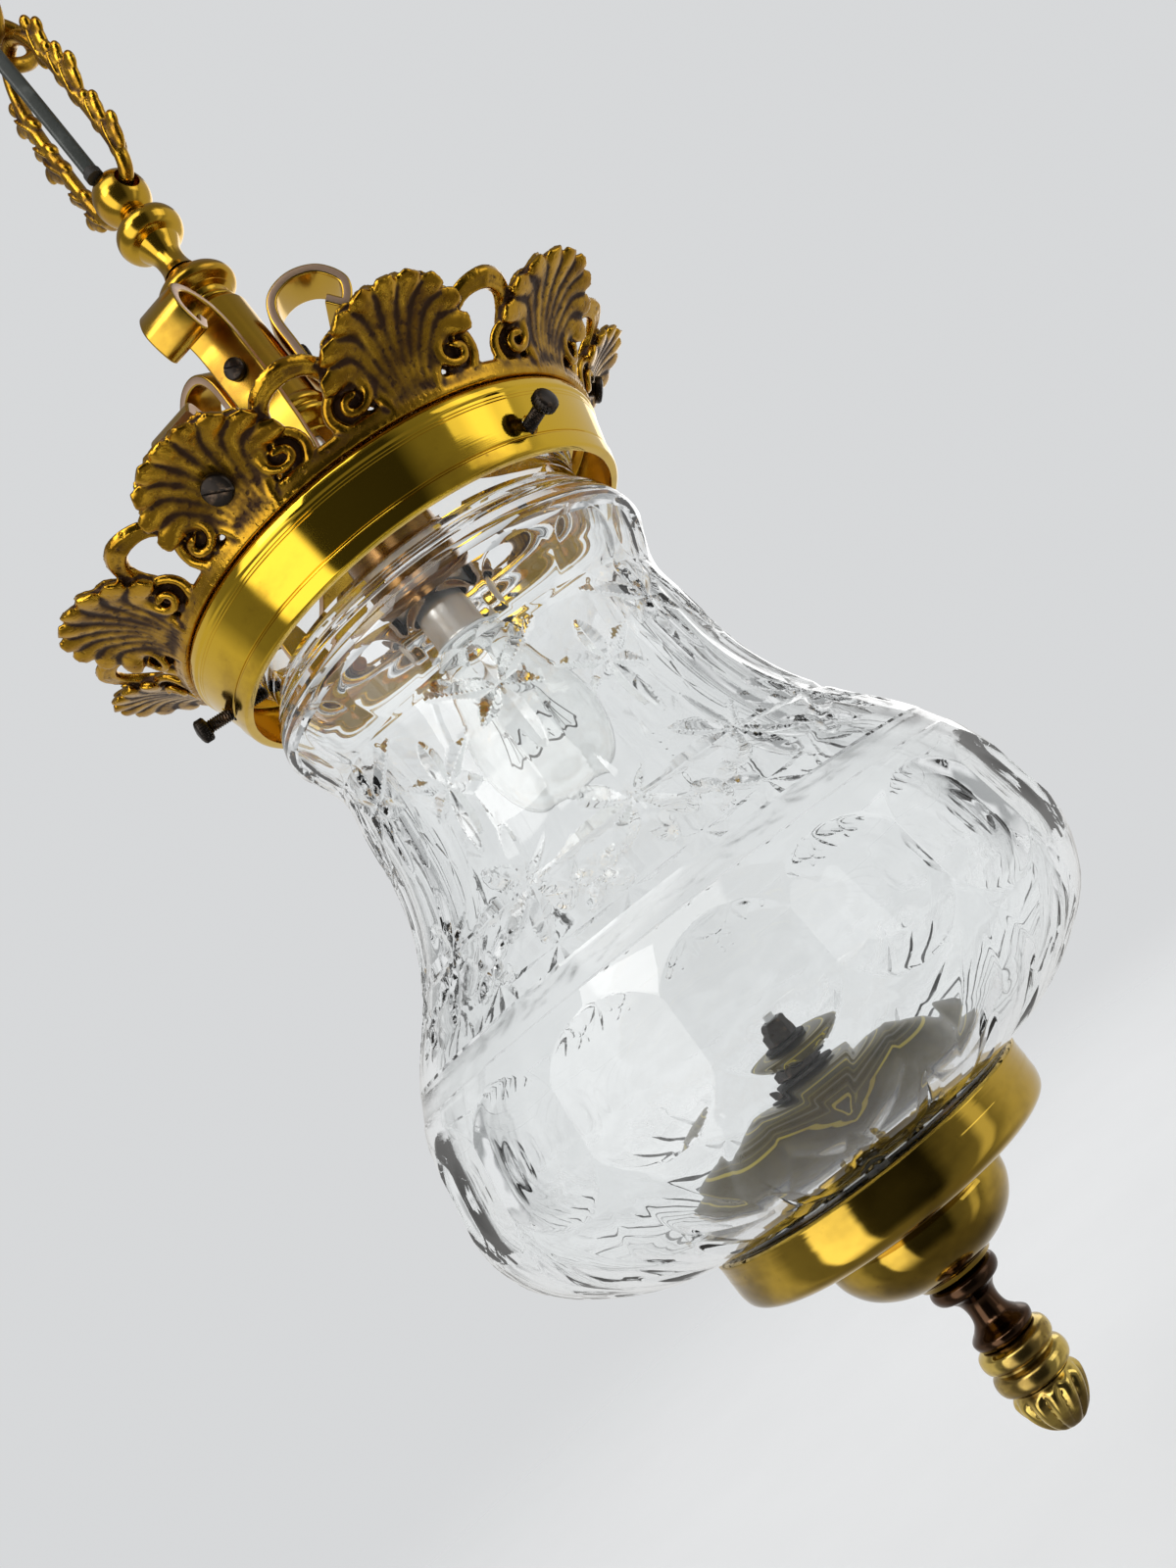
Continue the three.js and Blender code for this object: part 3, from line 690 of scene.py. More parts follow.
disc_outline = np.vstack([
    [(3.3, 31.3), (5.0, 31.3)],
    spline([(5.2, 31.6), (6.6, 33.6), (10.6, 36.2), (12.2, 38.8), (11.8, 40.8), (9.4, 42.2)], 24),
    rounded([(9.4, 42.6), (7.8, 43.2), (7.5, 45), (8.6, 45.8), (8.6, 47.0), (3.3, 47.0)], 0.4),
])
turned_brass("stem_disc", disc_outline, polished)

hub_outline = rounded(
    [(3.3, 47.3), (8.8, 47.3), (10, 49.4), (10, 86.2), (10.6, 86.6), (11.1, 87.8), (11.1, 89.0), (9.8, 90),
     (9.8, 90.6), (10.9, 91.3), (10.9, 92.6), (9.6, 94), (8.4, 95.2), (7.2, 97), (3.3, 97)], 0.5)
turned_brass("hub_core", hub_outline, polished)

tube_outline = rounded([(2.1, 8.6), (3, 8.6), (3, 128), (2.1, 128)], 0.2)
finish_piece(turned("stem_tube_fine", tube_outline, 64), "lantern", "nickel", nickel, "stem_tube")
flex_line = [(0, 0, BALL_Z - depth) for depth in np.linspace(9.2, 127.6, 24)]
flex = swept("inner_flex_fine", flex_line, circle(1.6, 20))
finish_piece(flex, "lantern", "cable_jacket", jacket, "inner_flex")
print("stem from depth", round(-BALL_R, 1), "to", 128, "mm")

# %% [markdown]
# ## Strap arms
# Each arm is one flat strip with softened edges, bent round formers: a volute at the top, a straight run
# screwed to the hub, a sweep out to the gallery, and a small curl. A strip's section carried along a
# spline does this exactly, because the section always keeps its width square to the bend. The narrow
# edges were filed, and show paler and pinker metal.

# %% Arms
ARM_LINE = [(27.5, 64.5), (31.5, 68.2), (35, 62), (31, 55), (23.5, 52.6), (16, 55), (12.4, 61), (11.9, 71),
            (11.9, 79), (13.1, 88), (15, 99), (20, 113), (34, 126), (48, 132), (57.5, 133), (63.2, 128.8),
            (67, 123.2), (69.4, 115.5), (72.6, 109.5), (76, 112.6)]
ARM_WIDTH, ARM_THICK = 13.0, 3.0


def strip_section(width, thick, corner):
    half_w, half_t = width / 2, thick / 2
    corners = [(half_w, -half_t), (half_w, half_t), (-half_w, half_t), (-half_w, -half_t)]
    loop = rounded([(0, -half_t), *corners, (0, -half_t)], corner, 3)
    return loop[:-1]


def strap_arm(number, azimuth):
    a = math.radians(azimuth)
    side = (math.cos(a), math.sin(a), 0)
    line = [place(r, depth, azimuth) for r, depth in spline(ARM_LINE, 230)]
    section = strip_section(ARM_WIDTH, ARM_THICK, 0.55)
    arm = swept(f"arm_{number}_fine", line, section, side=side)
    finish_piece(arm, "lantern", "polished_brass", strap_brass, f"arm_{number}")
    arm.data.materials.append(filed_edge)
    on_edge = {i for i, point in enumerate(section) if abs(point[0]) > ARM_WIDTH / 2 - 0.05}
    for polygon in arm.data.polygons:
        where = {v % len(section) for v in polygon.vertices}
        if where <= on_edge or len(polygon.vertices) > 4:
            polygon.material_index = 1


for number, azimuth in enumerate(ARM_AZIMUTHS, 1):
    strap_arm(number, azimuth)
print("strip", ARM_WIDTH, "by", ARM_THICK, "mm")

# %% [markdown]
# ## Screws
# Slotted cheese-head screws hold the arms, and three thumb screws with knurled heads hold the glass. The
# threads of the thumb screws show, so they are cut as a real helix: the radius of a turned shank swings
# with the angle as well as the length.

# %% Screws


def radial_frame(azimuth, r, depth, tip=0.0):
    """Local axes at a place on the lamp: z points outwards, tipped down by `tip` degrees."""
    a, t = math.radians(azimuth), math.radians(tip)
    outwards = np.array([math.sin(a) * math.cos(t), -math.cos(a) * math.cos(t), -math.sin(t)])
    side = np.array([math.cos(a), math.sin(a), 0])
    return np.array([side, np.cross(outwards, side), outwards]), np.array(place(r, depth, azimuth))


def local_lathe(outline, segments, ripple=None):
    """Like turned(), but about a local z axis, from (radius, height) points that rise."""
    outline = np.array(outline, float)
    angles = np.arange(segments) * 2 * math.pi / segments
    body = outline[1:-1]
    r = body[:, 0:1] * np.ones(segments)
    if ripple is not None:
        r = ripple(r, angles[None, :], body[:, 1:2])
    verts = np.stack([r * np.cos(angles), r * np.sin(angles), body[:, 1:2] * np.ones(segments)], -1)
    verts = verts.reshape(-1, 3)
    faces = grid_faces(len(body), segments)
    low, high, last = len(verts), len(verts) + 1, (len(body) - 1) * segments
    verts = np.vstack([verts, [0, 0, outline[0][1]], [0, 0, outline[-1][1]]])
    for k in range(segments):
        faces.append([low, (k + 1) % segments, k])
        faces.append([high, last + k, last + (k + 1) % segments])
    return verts, faces


SLOT_WIDTH, SLOT_DEPTH, SLOT_TURN = 0.9, 0.8, 35


def slotted_screw(node, azimuth, r, depth, tip, head, tall, shank, length):
    """A domed cheese head of radius `head` and height `tall` on a shank that points inwards."""
    axes, origin = radial_frame(azimuth, r, depth, tip)
    dome = [(head, tall * 0.62), (head * 0.9, tall * 0.86), (head * 0.6, tall), (0, tall * 1.04)]
    under_head = [(shank * 0.7, -length), (shank, -length + 0.5), (shank, 0), (head, 0)]
    outline = [(0, -length), *rounded([*under_head, *dome[:2]], 0.25), *dome[2:]]
    verts, faces = local_lathe(outline, 48)
    screw = make_object(f"{node}_fine", verts @ axes + origin, faces)
    w, d = SLOT_WIDTH / 2, SLOT_DEPTH
    slot_line = [(reach * head, 0, tall) for reach in (-1.5, 0, 1.5)]
    slot_verts, slot_faces = swept_arrays(slot_line, [(-w, -d), (w, -d), (w, d), (-w, d)], side=(0, 1, 0))
    slot_verts = slot_verts @ np.array(Matrix.Rotation(math.radians(SLOT_TURN), 3, "Z"))
    cutter = make_object("slot_cutter", slot_verts @ axes + origin, slot_faces)
    slot = screw.modifiers.new("slot", "BOOLEAN")
    slot.operation, slot.object, slot.solver = "DIFFERENCE", cutter, "EXACT"
    applied(screw)
    bpy.data.objects.remove(cutter)
    screw.data.set_sharp_from_angle(angle=math.radians(35))
    finish_piece(screw, "lantern", "black_steel", steel, node)


for number, azimuth in enumerate(ARM_AZIMUTHS, 1):
    slotted_screw(f"hub_screw_{number}", azimuth, r=13.5, depth=72.6, tip=0, head=3.2, tall=1.9, shank=1.5,
                  length=3)
    slotted_screw(f"gallery_screw_{number}", azimuth, r=74.6, depth=128.6, tip=36, head=3.8, tall=2.2,
                  shank=2, length=9.5)


THUMB_SCREW_DEPTH, THREAD_PITCH = 150.5, 0.7


def thumb_screw(number, azimuth):
    axes, origin = radial_frame(azimuth, 0, THUMB_SCREW_DEPTH)
    shank = [(1.0, 51.0), *[(1.7, h) for h in np.linspace(51.4, 68.2, 150)]]
    head = [(2.0, 68.4), (2.9, 68.6), (3.15, 69.0), (3.15, 71.0), (2.8, 71.5), (2.0, 71.8)]

    def thread_and_knurl(r, angle, height):
        turn_at = (height / THREAD_PITCH * 2 * math.pi + angle) % (2 * math.pi)
        thread = 0.34 * np.abs(turn_at / math.pi - 1) - 0.2
        knurl = 0.16 * np.cos(22 * angle)
        on_shank = (height > 51.2) & (height < 68.3)
        on_rim = (height > 68.8) & (height < 71.2)
        return r + np.where(on_shank, thread, 0) + np.where(on_rim, knurl, 0)

    verts, faces = local_lathe([(0, 51.0), *shank, *head, (0, 72.1)], 66, thread_and_knurl)
    screw = make_object(f"thumb_screw_{number}_fine", verts @ axes + origin, faces, 50)
    finish_piece(screw, f"glass_screw_{number}", "black_steel", steel, f"thumb_screw_{number}")


for number, azimuth in enumerate(SCREW_AZIMUTHS, 1):
    thumb_screw(number, azimuth)
print("screws:", 2 * len(ARM_AZIMUTHS), "slotted and", len(SCREW_AZIMUTHS), "thumb screws")

# %% [markdown]
# ## The gallery crown
# The crown is one casting: a coronet of palmettes that flares outwards, with small loops between them.
# Real ones were carved in wax. Here each palmette is drawn flat, as a bundle of ribs that rise from the
# base and spread into lobes, with a snail-shell scroll at each side, and the drawing is then wrapped on the
# flare. Everything is melted together at the end, which gives the soft valleys that a casting has.

# %% Palmettes drawn flat
FLARE = spline([(65.4, 137.2), (66.4, 132.6), (70.2, 127.2), (77.8, 121.8), (88.0, 117.0)], 60)
flare_steps = np.linalg.norm(np.diff(FLARE, axis=0), axis=1)
flare_length = np.concatenate([[0], np.cumsum(flare_steps)])
flare_slope = np.gradient(FLARE, axis=0)
flare_slope /= np.linalg.norm(flare_slope, axis=1)[:, None]


def wrap(points, azimuth):
    """Wraps flat (across, along, out) points on the flare, round a fan's own azimuth."""
    across, along, out = np.asarray(points, float).T
    clamped = np.clip(along, 0, flare_length[-1])
    extra = along - clamped
    r = np.interp(clamped, flare_length, FLARE[:, 0])
    depth = np.interp(clamped, flare_length, FLARE[:, 1])
    slope_r = np.interp(clamped, flare_length, flare_slope[:, 0])
    slope_d = np.interp(clamped, flare_length, flare_slope[:, 1])
    r_at, depth_at = r + slope_r * extra, depth + slope_d * extra
    angle = math.radians(azimuth) + across / r_at
    r_at, depth_at = r_at - slope_d * out, depth_at + slope_r * out
    return np.stack([r_at * np.sin(angle), -r_at * np.cos(angle), BALL_Z - depth_at], -1)


def rib(points, widths, heights, thick, steps=16, sides=10):
    """A tapering rib on the flat drawing: its line, its half-widths and how far it stands out."""
    line = spline(points, steps)
    t = np.linspace(0, 1, steps + 1)
    width = np.interp(t, np.linspace(0, 1, len(widths)), widths)
    height = np.interp(t, np.linspace(0, 1, len(heights)), heights)
    tangent = np.gradient(line, axis=0)
    tangent /= np.linalg.norm(tangent, axis=1)[:, None]
    normal = np.stack([-tangent[:, 1], tangent[:, 0]], -1)
    a = np.arange(sides) * 2 * math.pi / sides
    rings = []
    for point, across, w, h in zip(line, normal, width, height):
        flat = point + np.outer(w * np.cos(a), across)
        rings.append(np.column_stack([flat, h + thick * (w / max(widths)) ** 0.5 * np.sin(a)]))
    verts = np.concatenate(rings)
    faces = grid_faces(steps + 1, sides, flip=True)
    faces.append(list(range(sides)))
    faces.append([steps * sides + k for k in range(sides)][::-1])
    return verts, faces


FAN_TIPS = [(0, 32.6), (7.4, 31.6), (13.8, 28.2), (18.4, 22.6), (20.0, 15.4)]


def palmette():
    """One fan: nine bold ribs with rounded ends, a web behind them and a scroll at each side."""
    parts = []
    for index, (tip_a, tip_b) in enumerate(FAN_TIPS):
        for side in ((1,) if index == 0 else (1, -1)):
            foot = (side * index * 1.5, 0.6)
            waist = (side * (index * 1.7 + tip_a * 0.02), tip_b * 0.36)
            bow = (side * (tip_a * 0.52 + index * 0.5), tip_b * 0.78 + index * 0.7)
            line = [foot, waist, bow, (side * tip_a, tip_b)]
            swell = [1.1, 1.3, 1.6, 1.9, 2.3, 2.7, 3.1, 3.3, 3.2, 2.2]
            parts.append(rib(line, swell, [0.9, 1.5, 1.5, 1.9, 2.9, 3.6], 1.25, steps=26, sides=12))
            web = [foot, waist, bow, (side * tip_a * 0.93, tip_b * 0.93)]
            parts.append(rib(web, [1.8, 2.4, 3.6, 4.9, 3.6], [-0.9, -0.9, -0.8, -0.1, 1.4], 1.0, steps=12))
            if index:
                middle = [(p[0] - side * (1.1 + 0.9 * k), p[1] + 0.3 * k) for k, p in enumerate(line)]
                middle[-1] = (side * (tip_a - 4.0), tip_b * 0.99 + 0.1)
                crease = [0.5, 0.7, 0.9, 1.0, 0.6]
                parts.append(rib(middle, crease, [0.9, 1.0, 0.9, 1.2, 2.2], 0.8, sides=8))
    for side in (1, -1):
        turns = np.linspace(-0.3 * math.pi, 2.7 * math.pi, 16)
        reach = np.linspace(6.6, 0.9, 16)
        scroll = [(side * (14.0 + r * math.cos(t)), 8.8 + r * math.sin(t)) for t, r in zip(turns, reach)]
        curl = [1.5, 1.5, 1.4, 1.1, 1.5]
        parts.append(rib(scroll, curl, [0.8, 1.8, 2.4, 2.8, 3.4], 1.1, steps=44, sides=12))
        backing = [(side * 14, 3.2), (side * 14, 8.8), (side * 14, 14.6)]
        parts.append(rib(backing, [2.4, 5.2, 2.4], [-0.2, 0.1, 0.1], 1.0, steps=8))
    return parts


def bridge():
    """The small arched loop between two fans, with a bead along its middle."""
    line = [(-8.2, 11.4), (-8.6, 16.4), (-6.2, 21.6), (0, 24.2), (6.2, 21.6), (8.6, 16.4), (8.2, 11.4)]
    widths, heights = [2.1, 2.3, 2.8, 3.1, 2.8, 2.3, 2.1], [-0.2, 0.2, 0.9, 1.4, 0.9, 0.2, -0.2]
    loop = rib(line, widths, heights, 1.2, steps=30)
    beads = []
    for shift in (-1.5, 0, 1.5):
        arc = [(x * (1 + shift * 0.09), 17 + (y - 17) * (1 + shift * 0.16)) for x, y in line]
        beads.append(rib(arc, [0.5, 0.7, 0.8, 0.7, 0.5], [0.9, 1.6, 2.5, 1.6, 0.9], 0.6, steps=30, sides=8))
    return [loop, *beads]


# %% [markdown]
# The fans stand at even angles from the first strap arm, with a bridge halfway between each two. A
# moulded band joins their feet, and a voxel of half a millimetre melts them into one skin.

# %% Wrap, melt and gild the crown
drawing_fan, drawing_bridge = merged(palmette()), merged(bridge())
crown_parts = []
for k in range(FAN_COUNT):
    fan_azimuth = ARM_AZIMUTHS[0] + 360 / FAN_COUNT * k
    crown_parts.append((wrap(drawing_fan[0], fan_azimuth), drawing_fan[1]))
    crown_parts.append((wrap(drawing_bridge[0], fan_azimuth + 180 / FAN_COUNT), drawing_bridge[1]))
BAND_STEPS = 200
band_outline = [(61.4, 135.6), (63.6, 134.4), (65.6, 133.2), (66.9, 133.2), (67.4, 134.4), (66.9, 136.4),
                (66.6, 138), (61.4, 138)]
band_angles = np.arange(BAND_STEPS) * 2 * math.pi / BAND_STEPS
level = np.ones(BAND_STEPS)
band = [np.column_stack([r * np.sin(band_angles), -r * np.cos(band_angles), (BALL_Z - d) * level])
        for r, d in band_outline]
crown_parts.append((np.concatenate(band), grid_faces(len(band_outline), BAND_STEPS, close_rows=True)))
crown = cast("gallery_crown_fine", crown_parts, 0.5, reach=12, gain=1.5)
finish_piece(crown, "lantern", "cast_brass", gilt, "gallery_crown")

# %% [markdown]
# ## The collar
# Below the crown sits a spun ring, polished bright: a short upright band, a long cone with a groove near
# its lower edge, and three tapped holes. A tool left a few fine lines, which are real steps here because
# they break the reflection.

# %% Collar ring


def grooved(points, every, deep):
    """Adds fine tool lines to a straight stretch of outline."""
    (r0, d0), (r1, d1) = points
    out = []
    for k in range(every * 4 + 1):
        t = k / (every * 4)
        out.append((r0 + (r1 - r0) * t - (deep if k % 4 == 2 else 0), d0 + (d1 - d0) * t))
    return out


collar_outline = np.vstack([
    rounded([(58, 138.3), (65.2, 138.3), (65.6, 139.2), (65.6, 141.2), (65.0, 141.8)], 0.35),
    grooved([(64.9, 142.2), (64.5, 143.6)], 2, 0.12),
    rounded([(64.1, 144.8), (61.75, 152.6), (61.3, 152.75), (61.35, 153.3), (61.9, 153.5), (60.9, 156.6),
             (60.3, 157.0), (58.5, 157.0), (58.5, 155.8), (62.4, 143), (62.4, 140.2), (58, 140.2)], 0.25),
])
collar = turned("collar_ring_fine", collar_outline, 256)
for azimuth in SCREW_AZIMUTHS:
    axes, origin = radial_frame(azimuth, 0, THUMB_SCREW_DEPTH)
    line = [axes[2] * t + origin for t in (52, 58, 64, 70)]
    cutter = swept("hole_cutter", line, circle(2.35, 32))
    tapped = collar.modifiers.new("tapped", "BOOLEAN")
    tapped.operation, tapped.object, tapped.solver = "DIFFERENCE", cutter, "EXACT"
    applied(collar)
    bpy.data.objects.remove(cutter)
collar.data.shade_smooth()
collar.data.set_sharp_from_angle(angle=math.radians(28))
finish_piece(collar, "lantern", "polished_brass", ring_brass, "collar_ring")

# %% [markdown]
# ## The cut glass
# The blown shell was cut on wheels and polished. The mesh is a fine grid on the smooth outer wall, and
# each kind of cut is a formula for how deep the wheel went at every point of it: a round-edged wheel
# gives shallow dishes, a mitre wheel gives V grooves that taper out at both ends, and a flat stone gives
# the matt band. The deepest cut wins, as it does on real glass. The pattern repeats round the glass, so
# each cut is drawn once, on an angle folded into its own share of the circle.

# %% The blown shape
GLASS_LINE = [(50.4, 157), (55, 163), (57.3, 171), (54.6, 179), (51.8, 187), (53.2, 199), (55.3, 216),
              (59.8, 230), (67.4, 243), (76, 254), (82.2, 264), (86.6, 275), (89.4, 288), (89.2, 299),
              (84.4, 312), (75.5, 320.6), (63, 328.2), (50, 332), (43.6, 333)]
WALL = 4.0
AROUND = 960
ALONG = 340

wall = spline(GLASS_LINE, 1200)
wall_length = np.concatenate([[0], np.cumsum(np.linalg.norm(np.diff(wall, axis=0), axis=1))])
even = np.linspace(0, wall_length[-1], ALONG)
outer = np.column_stack([np.interp(even, wall_length, wall[:, k]) for k in (0, 1)])
slope = np.gradient(outer, axis=0)
slope /= np.linalg.norm(slope, axis=1)[:, None]
inwards = np.stack([-slope[:, 1], slope[:, 0]], -1)
theta = np.arange(AROUND) * 2 * math.pi / AROUND
S, THETA = np.meshgrid(even, theta, indexing="ij")
R = outer[:, 0:1] * np.ones(AROUND)


def along_at(depth):
    """How far down the wall a depth is reached."""
    return float(np.interp(depth, outer[:, 1], even))


def folded(count, offset=0.0):
    """The distance round the wall from the nearest of `count` even places, in millimetres."""
    share = 2 * math.pi / count
    shifted = (THETA - math.radians(offset) + share / 2) % share - share / 2
    return shifted * R


print("wall", round(wall_length[-1]), "mm along,", AROUND * ALONG, "points")

# %% [markdown]
# In the formulas u is the distance round the wall and v the distance down it, from the middle of a cut.
# A star is a ring of V grooves that meet in a point. Its facets are left a little matt, so that they show
# pale against the polished wall.

# %% Wheels


def dish(u, v, half_u, half_v, deep):
    """What a round-edged wheel takes off: an oval hollow."""
    return deep * np.clip(1 - (u / half_u) ** 2 - (v / half_v) ** 2, 0, None)


def mitre(u, v, start, end, deep, slope_down=0.5, blunt=0.6):
    """A V groove from start to end that is deepest in its middle."""
    du, dv = end[0] - start[0], end[1] - start[1]
    length = math.hypot(du, dv)
    t = ((u - start[0]) * du + (v - start[1]) * dv) / length**2
    off = np.abs((u - start[0]) * dv - (v - start[1]) * du) / length
    bed = deep * np.clip(4 * t * (1 - t), 0, None) ** blunt
    return np.where((t > 0) & (t < 1), np.clip(bed - off * slope_down, 0, None), 0)


def star(u, v, rays, reach, deep, turn=0.0, long_ray=1.0):
    """Mitres that run out from one point. Every second one is `long_ray` times as long."""
    cut = np.zeros_like(u)
    for k in range(rays):
        a = math.radians(turn) + 2 * math.pi * k / rays
        size = reach * (long_ray if k % 2 == 0 else 1.0)
        end = (size * math.sin(a), size * math.cos(a))
        cut = np.maximum(cut, mitre(u, v, (end[0] * 0.02, end[1] * 0.02), end, deep, 0.37))
    return cut


# %% The cuts, from the neck down
NECK_PRINTS, STARS, ROUNDS, FLUTES = 16, 14, 18, 24

cuts = []
for depth in (160.5, 164.0, 167.5):
    v = S - along_at(depth)
    cuts.append(np.clip(0.34 - np.abs(v) * 0.5, 0, None))
cuts.append(dish(folded(NECK_PRINTS), S - along_at(179.5), 9.6, 9.0, 0.8))

stars = []
for offset, depth in ((0, 199), (360 / STARS, 209)):
    stars.append(star(folded(STARS // 2, offset), S - along_at(depth), 6, 12.5, 0.95, long_ray=1.5))
for offset in (180 / STARS, -180 / STARS):
    u, v = folded(STARS // 2, offset), S - along_at(222)
    taper = np.clip(1 - (v / 34) ** 2, 0, None) ** 0.5
    cuts.append(0.9 * np.clip(1 - (u / (0.1 + 7.5 * taper)) ** 2, 0, None) * taper)
stars.append(star(folded(STARS, 7), S - along_at(240), 8, 14.6, 1.1, long_ray=1.2))
stars.append(star(folded(STARS, 7 + 180 / STARS), S - along_at(250), 4, 8.0, 0.8, turn=45))
star_cut = np.maximum.reduce(stars)
cuts.append(star_cut)

band_v = S - along_at(262.5)
on_band = np.abs(band_v) < 3.2
cuts.append(np.where(on_band, 0.32 - 0.12 * (band_v / 3.2) ** 2, 0))

print_u, print_v = folded(ROUNDS, 2), S - along_at(286)
bowl = dish(print_u, print_v, 17.6, 17.0, 2.2)
well = np.clip(1 - np.hypot(print_u / 8.6, print_v / 9.8) ** 2, 0, None)
cuts.append(bowl + 0.45 * well * (bowl > 0))

hatch_v = S - along_at(302)
hatch_u = folded(ROUNDS, 2 + 180 / ROUNDS)
hatch = np.zeros_like(S)
for lean in (1, -1):
    phase = (hatch_u / 1.9 + lean * hatch_v / 2.1) % 1.0
    hatch = np.maximum(hatch, np.clip(0.11 - np.abs(phase - 0.5) * 0.8, 0, None))
cuts.append(np.where(np.abs(hatch_u) / 6.5 + np.abs(hatch_v) / 7 < 1, hatch, 0))
for lean in (1, -1):
    across, down = hatch_u - lean * 5.2, hatch_v - 13
    leaf_u = 0.90 * across - lean * 0.43 * down
    leaf_v = lean * 0.43 * across + 0.90 * down
    cuts.append(dish(leaf_u, leaf_v, 6.4, 17.5, 0.4))

flute_top = along_at(320)
u, v = folded(FLUTES), np.clip((S - flute_top) / (even[-1] - flute_top + 6), 0, 1)
cuts.append(np.clip(0.8 * np.sin(math.pi * v) ** 0.5 - np.abs(u) * 0.2, 0, None))

deepest = np.minimum(np.maximum.reduce(cuts), WALL - 1.2)
print("cuts:", len(cuts), "kinds, deepest", round(float(deepest.max()), 2), "mm")

# %% [markdown]
# The cut outer wall, a rounded lip, a ground foot and a smooth inner wall close into one solid shell of
# glass. Each point also keeps how matt it is, from 0 for polished to 1 for ground.

# %% Glass shade
outside_r = outer[:, 0:1] + inwards[:, 0:1] * deepest
outside_d = outer[:, 1:2] + inwards[:, 1:2] * deepest
lip = rounded([(47.0, 157), (47.2, 148), (48.2, 143.4), (49.4, 141.8), (52.6, 141.8), (53.9, 143.6),
               (53.4, 145.8), (50.6, 148.4), (50.2, 156)], 1.2, 4)
foot = rounded([(42.8, 333.6), (42.6, 338.0), (39.4, 338.0), (39.2, 332.6)], 0.6)
inner = outer + inwards * WALL
inner = inner[(inner[:, 1] > 160)][::-6]
columns = []
for stretch in (lip, foot, inner):
    columns.append(np.stack([stretch[:, 0:1] * np.ones(AROUND), stretch[:, 1:2] * np.ones(AROUND)], -1))
rows = np.concatenate([columns[0], np.stack([outside_r, outside_d], -1), columns[1], columns[2]])
radius, depth = rows[..., 0], rows[..., 1]
glass_verts = np.stack([radius * np.sin(theta), -radius * np.cos(theta), BALL_Z - depth], -1).reshape(-1, 3)
glass_faces = grid_faces(len(rows), AROUND, close_rows=True)
glass = make_object("glass_shade_fine", glass_verts, glass_faces, 11)
ground = np.zeros((len(rows), AROUND), np.float32)
ground[len(lip) : len(lip) + ALONG] = np.where(on_band, 1.0, 0.5 * (star_cut > 0.02))
ground[len(lip) + ALONG : len(lip) + ALONG + len(foot)] = 1.0
glass.data.attributes.new("ground", "FLOAT", "POINT").data.foreach_set("value", ground.ravel())
finish_piece(glass, "lantern", "cut_glass", crystal_glass, "glass_shade")
print("glass", len(glass_verts), "points")

# %% [markdown]
# ## Lampholder and bulb
# A brass lampholder hangs on the stem tube inside the collar. Its bulb has a nickel bayonet cap, a
# clear round envelope, and inside it a glass stem, two leads, support hooks and the coiled filament. The
# coil is a real helix, because it shows through the cut glass.

# %% Lampholder and bulb
holder_outline = rounded(
    [(3.3, 128.4), (7, 128.4), (8, 129.6), (11, 130.2), (14.4, 133), (14.4, 145.6), (15.2, 146.2),
     (15.2, 150.2), (14.2, 150.8), (14.2, 155), (12.9, 155), (12.9, 140), (3.3, 140)], 0.5)
turned_brass("lampholder", holder_outline, shaded_holder_brass, 96)

cap_side = rounded([(7.6, 146), (8.4, 146.6), (10.4, 148), (11, 149), (11, 169.6), (11.4, 170.4), (11, 171.2),
                    (10.6, 172)], 0.5)
cap_outline = [(0, 146), *cap_side, (0, 172)]
finish_piece(turned("bulb_cap_fine", cap_outline, 96), "bulb", "nickel", nickel, "bulb_cap")

BULB_R, BULB_END, BULB_WALL = 22.5, 222.3, 0.7
envelope = spline([(10.1, 172.3), (10.4, 176), (12.4, 182), (16.6, 188.4), (20.8, 194), (22.5, 200)], 20)
round_end = np.linspace(0.02, math.pi / 2, 28)
end_arc = [(BULB_R * math.cos(t), BULB_END - BULB_R + BULB_R * math.sin(t)) for t in round_end]
outside_bulb = np.vstack([envelope, end_arc])
outside_bulb[-1, 0] = 0
inside_bulb = outside_bulb.copy()
inside_bulb[:, 0] = np.maximum(inside_bulb[:, 0] - BULB_WALL, 0)
inside_bulb[-1, 1] -= BULB_WALL
bulb_outline = np.vstack([outside_bulb[::-1], inside_bulb])
bulb = turned("bulb_glass_fine", bulb_outline, 96, smooth_angle=60)
finish_piece(bulb, "bulb", "bulb_glass", bulb_clear, "bulb_glass")

pinch_outline = [(0, 172.4), (7.4, 172.4), (4.2, 177), (2.3, 184), (1.7, 193), (2.6, 195), (2.2, 196.6),
                 (0, 197)]
pinch = turned("filament_stem_fine", pinch_outline, 48, smooth_angle=60)
finish_piece(pinch, "bulb", "bulb_glass", bulb_clear)

# %% Leads, hooks and coil

wires = []
for side in (-1, 1):
    lead = spline([(side * x, 0, d) for x, d in ((1.2, 190), (2.4, 195), (5.4, 201), (7.6, 205))], 12)
    wires.append(swept_arrays([(x, y, BALL_Z - d) for x, y, d in lead], circle(0.28, 8)))
for turn_deg in (60, 90, 120, 240, 270, 300):
    a = math.radians(turn_deg)
    reach = ((0.6, 195.6), (2.6, 200), (5.8, 204.6))
    hook = spline([(r * math.cos(a), r * math.sin(a), d) for r, d in reach], 8)
    wires.append(swept_arrays([(x, y, BALL_Z - d) for x, y, d in hook], circle(0.16, 6)))
leads = make_object("filament_leads_fine", *merged(wires))
finish_piece(leads, "bulb", "nickel", tungsten_wire, "filament_mount")

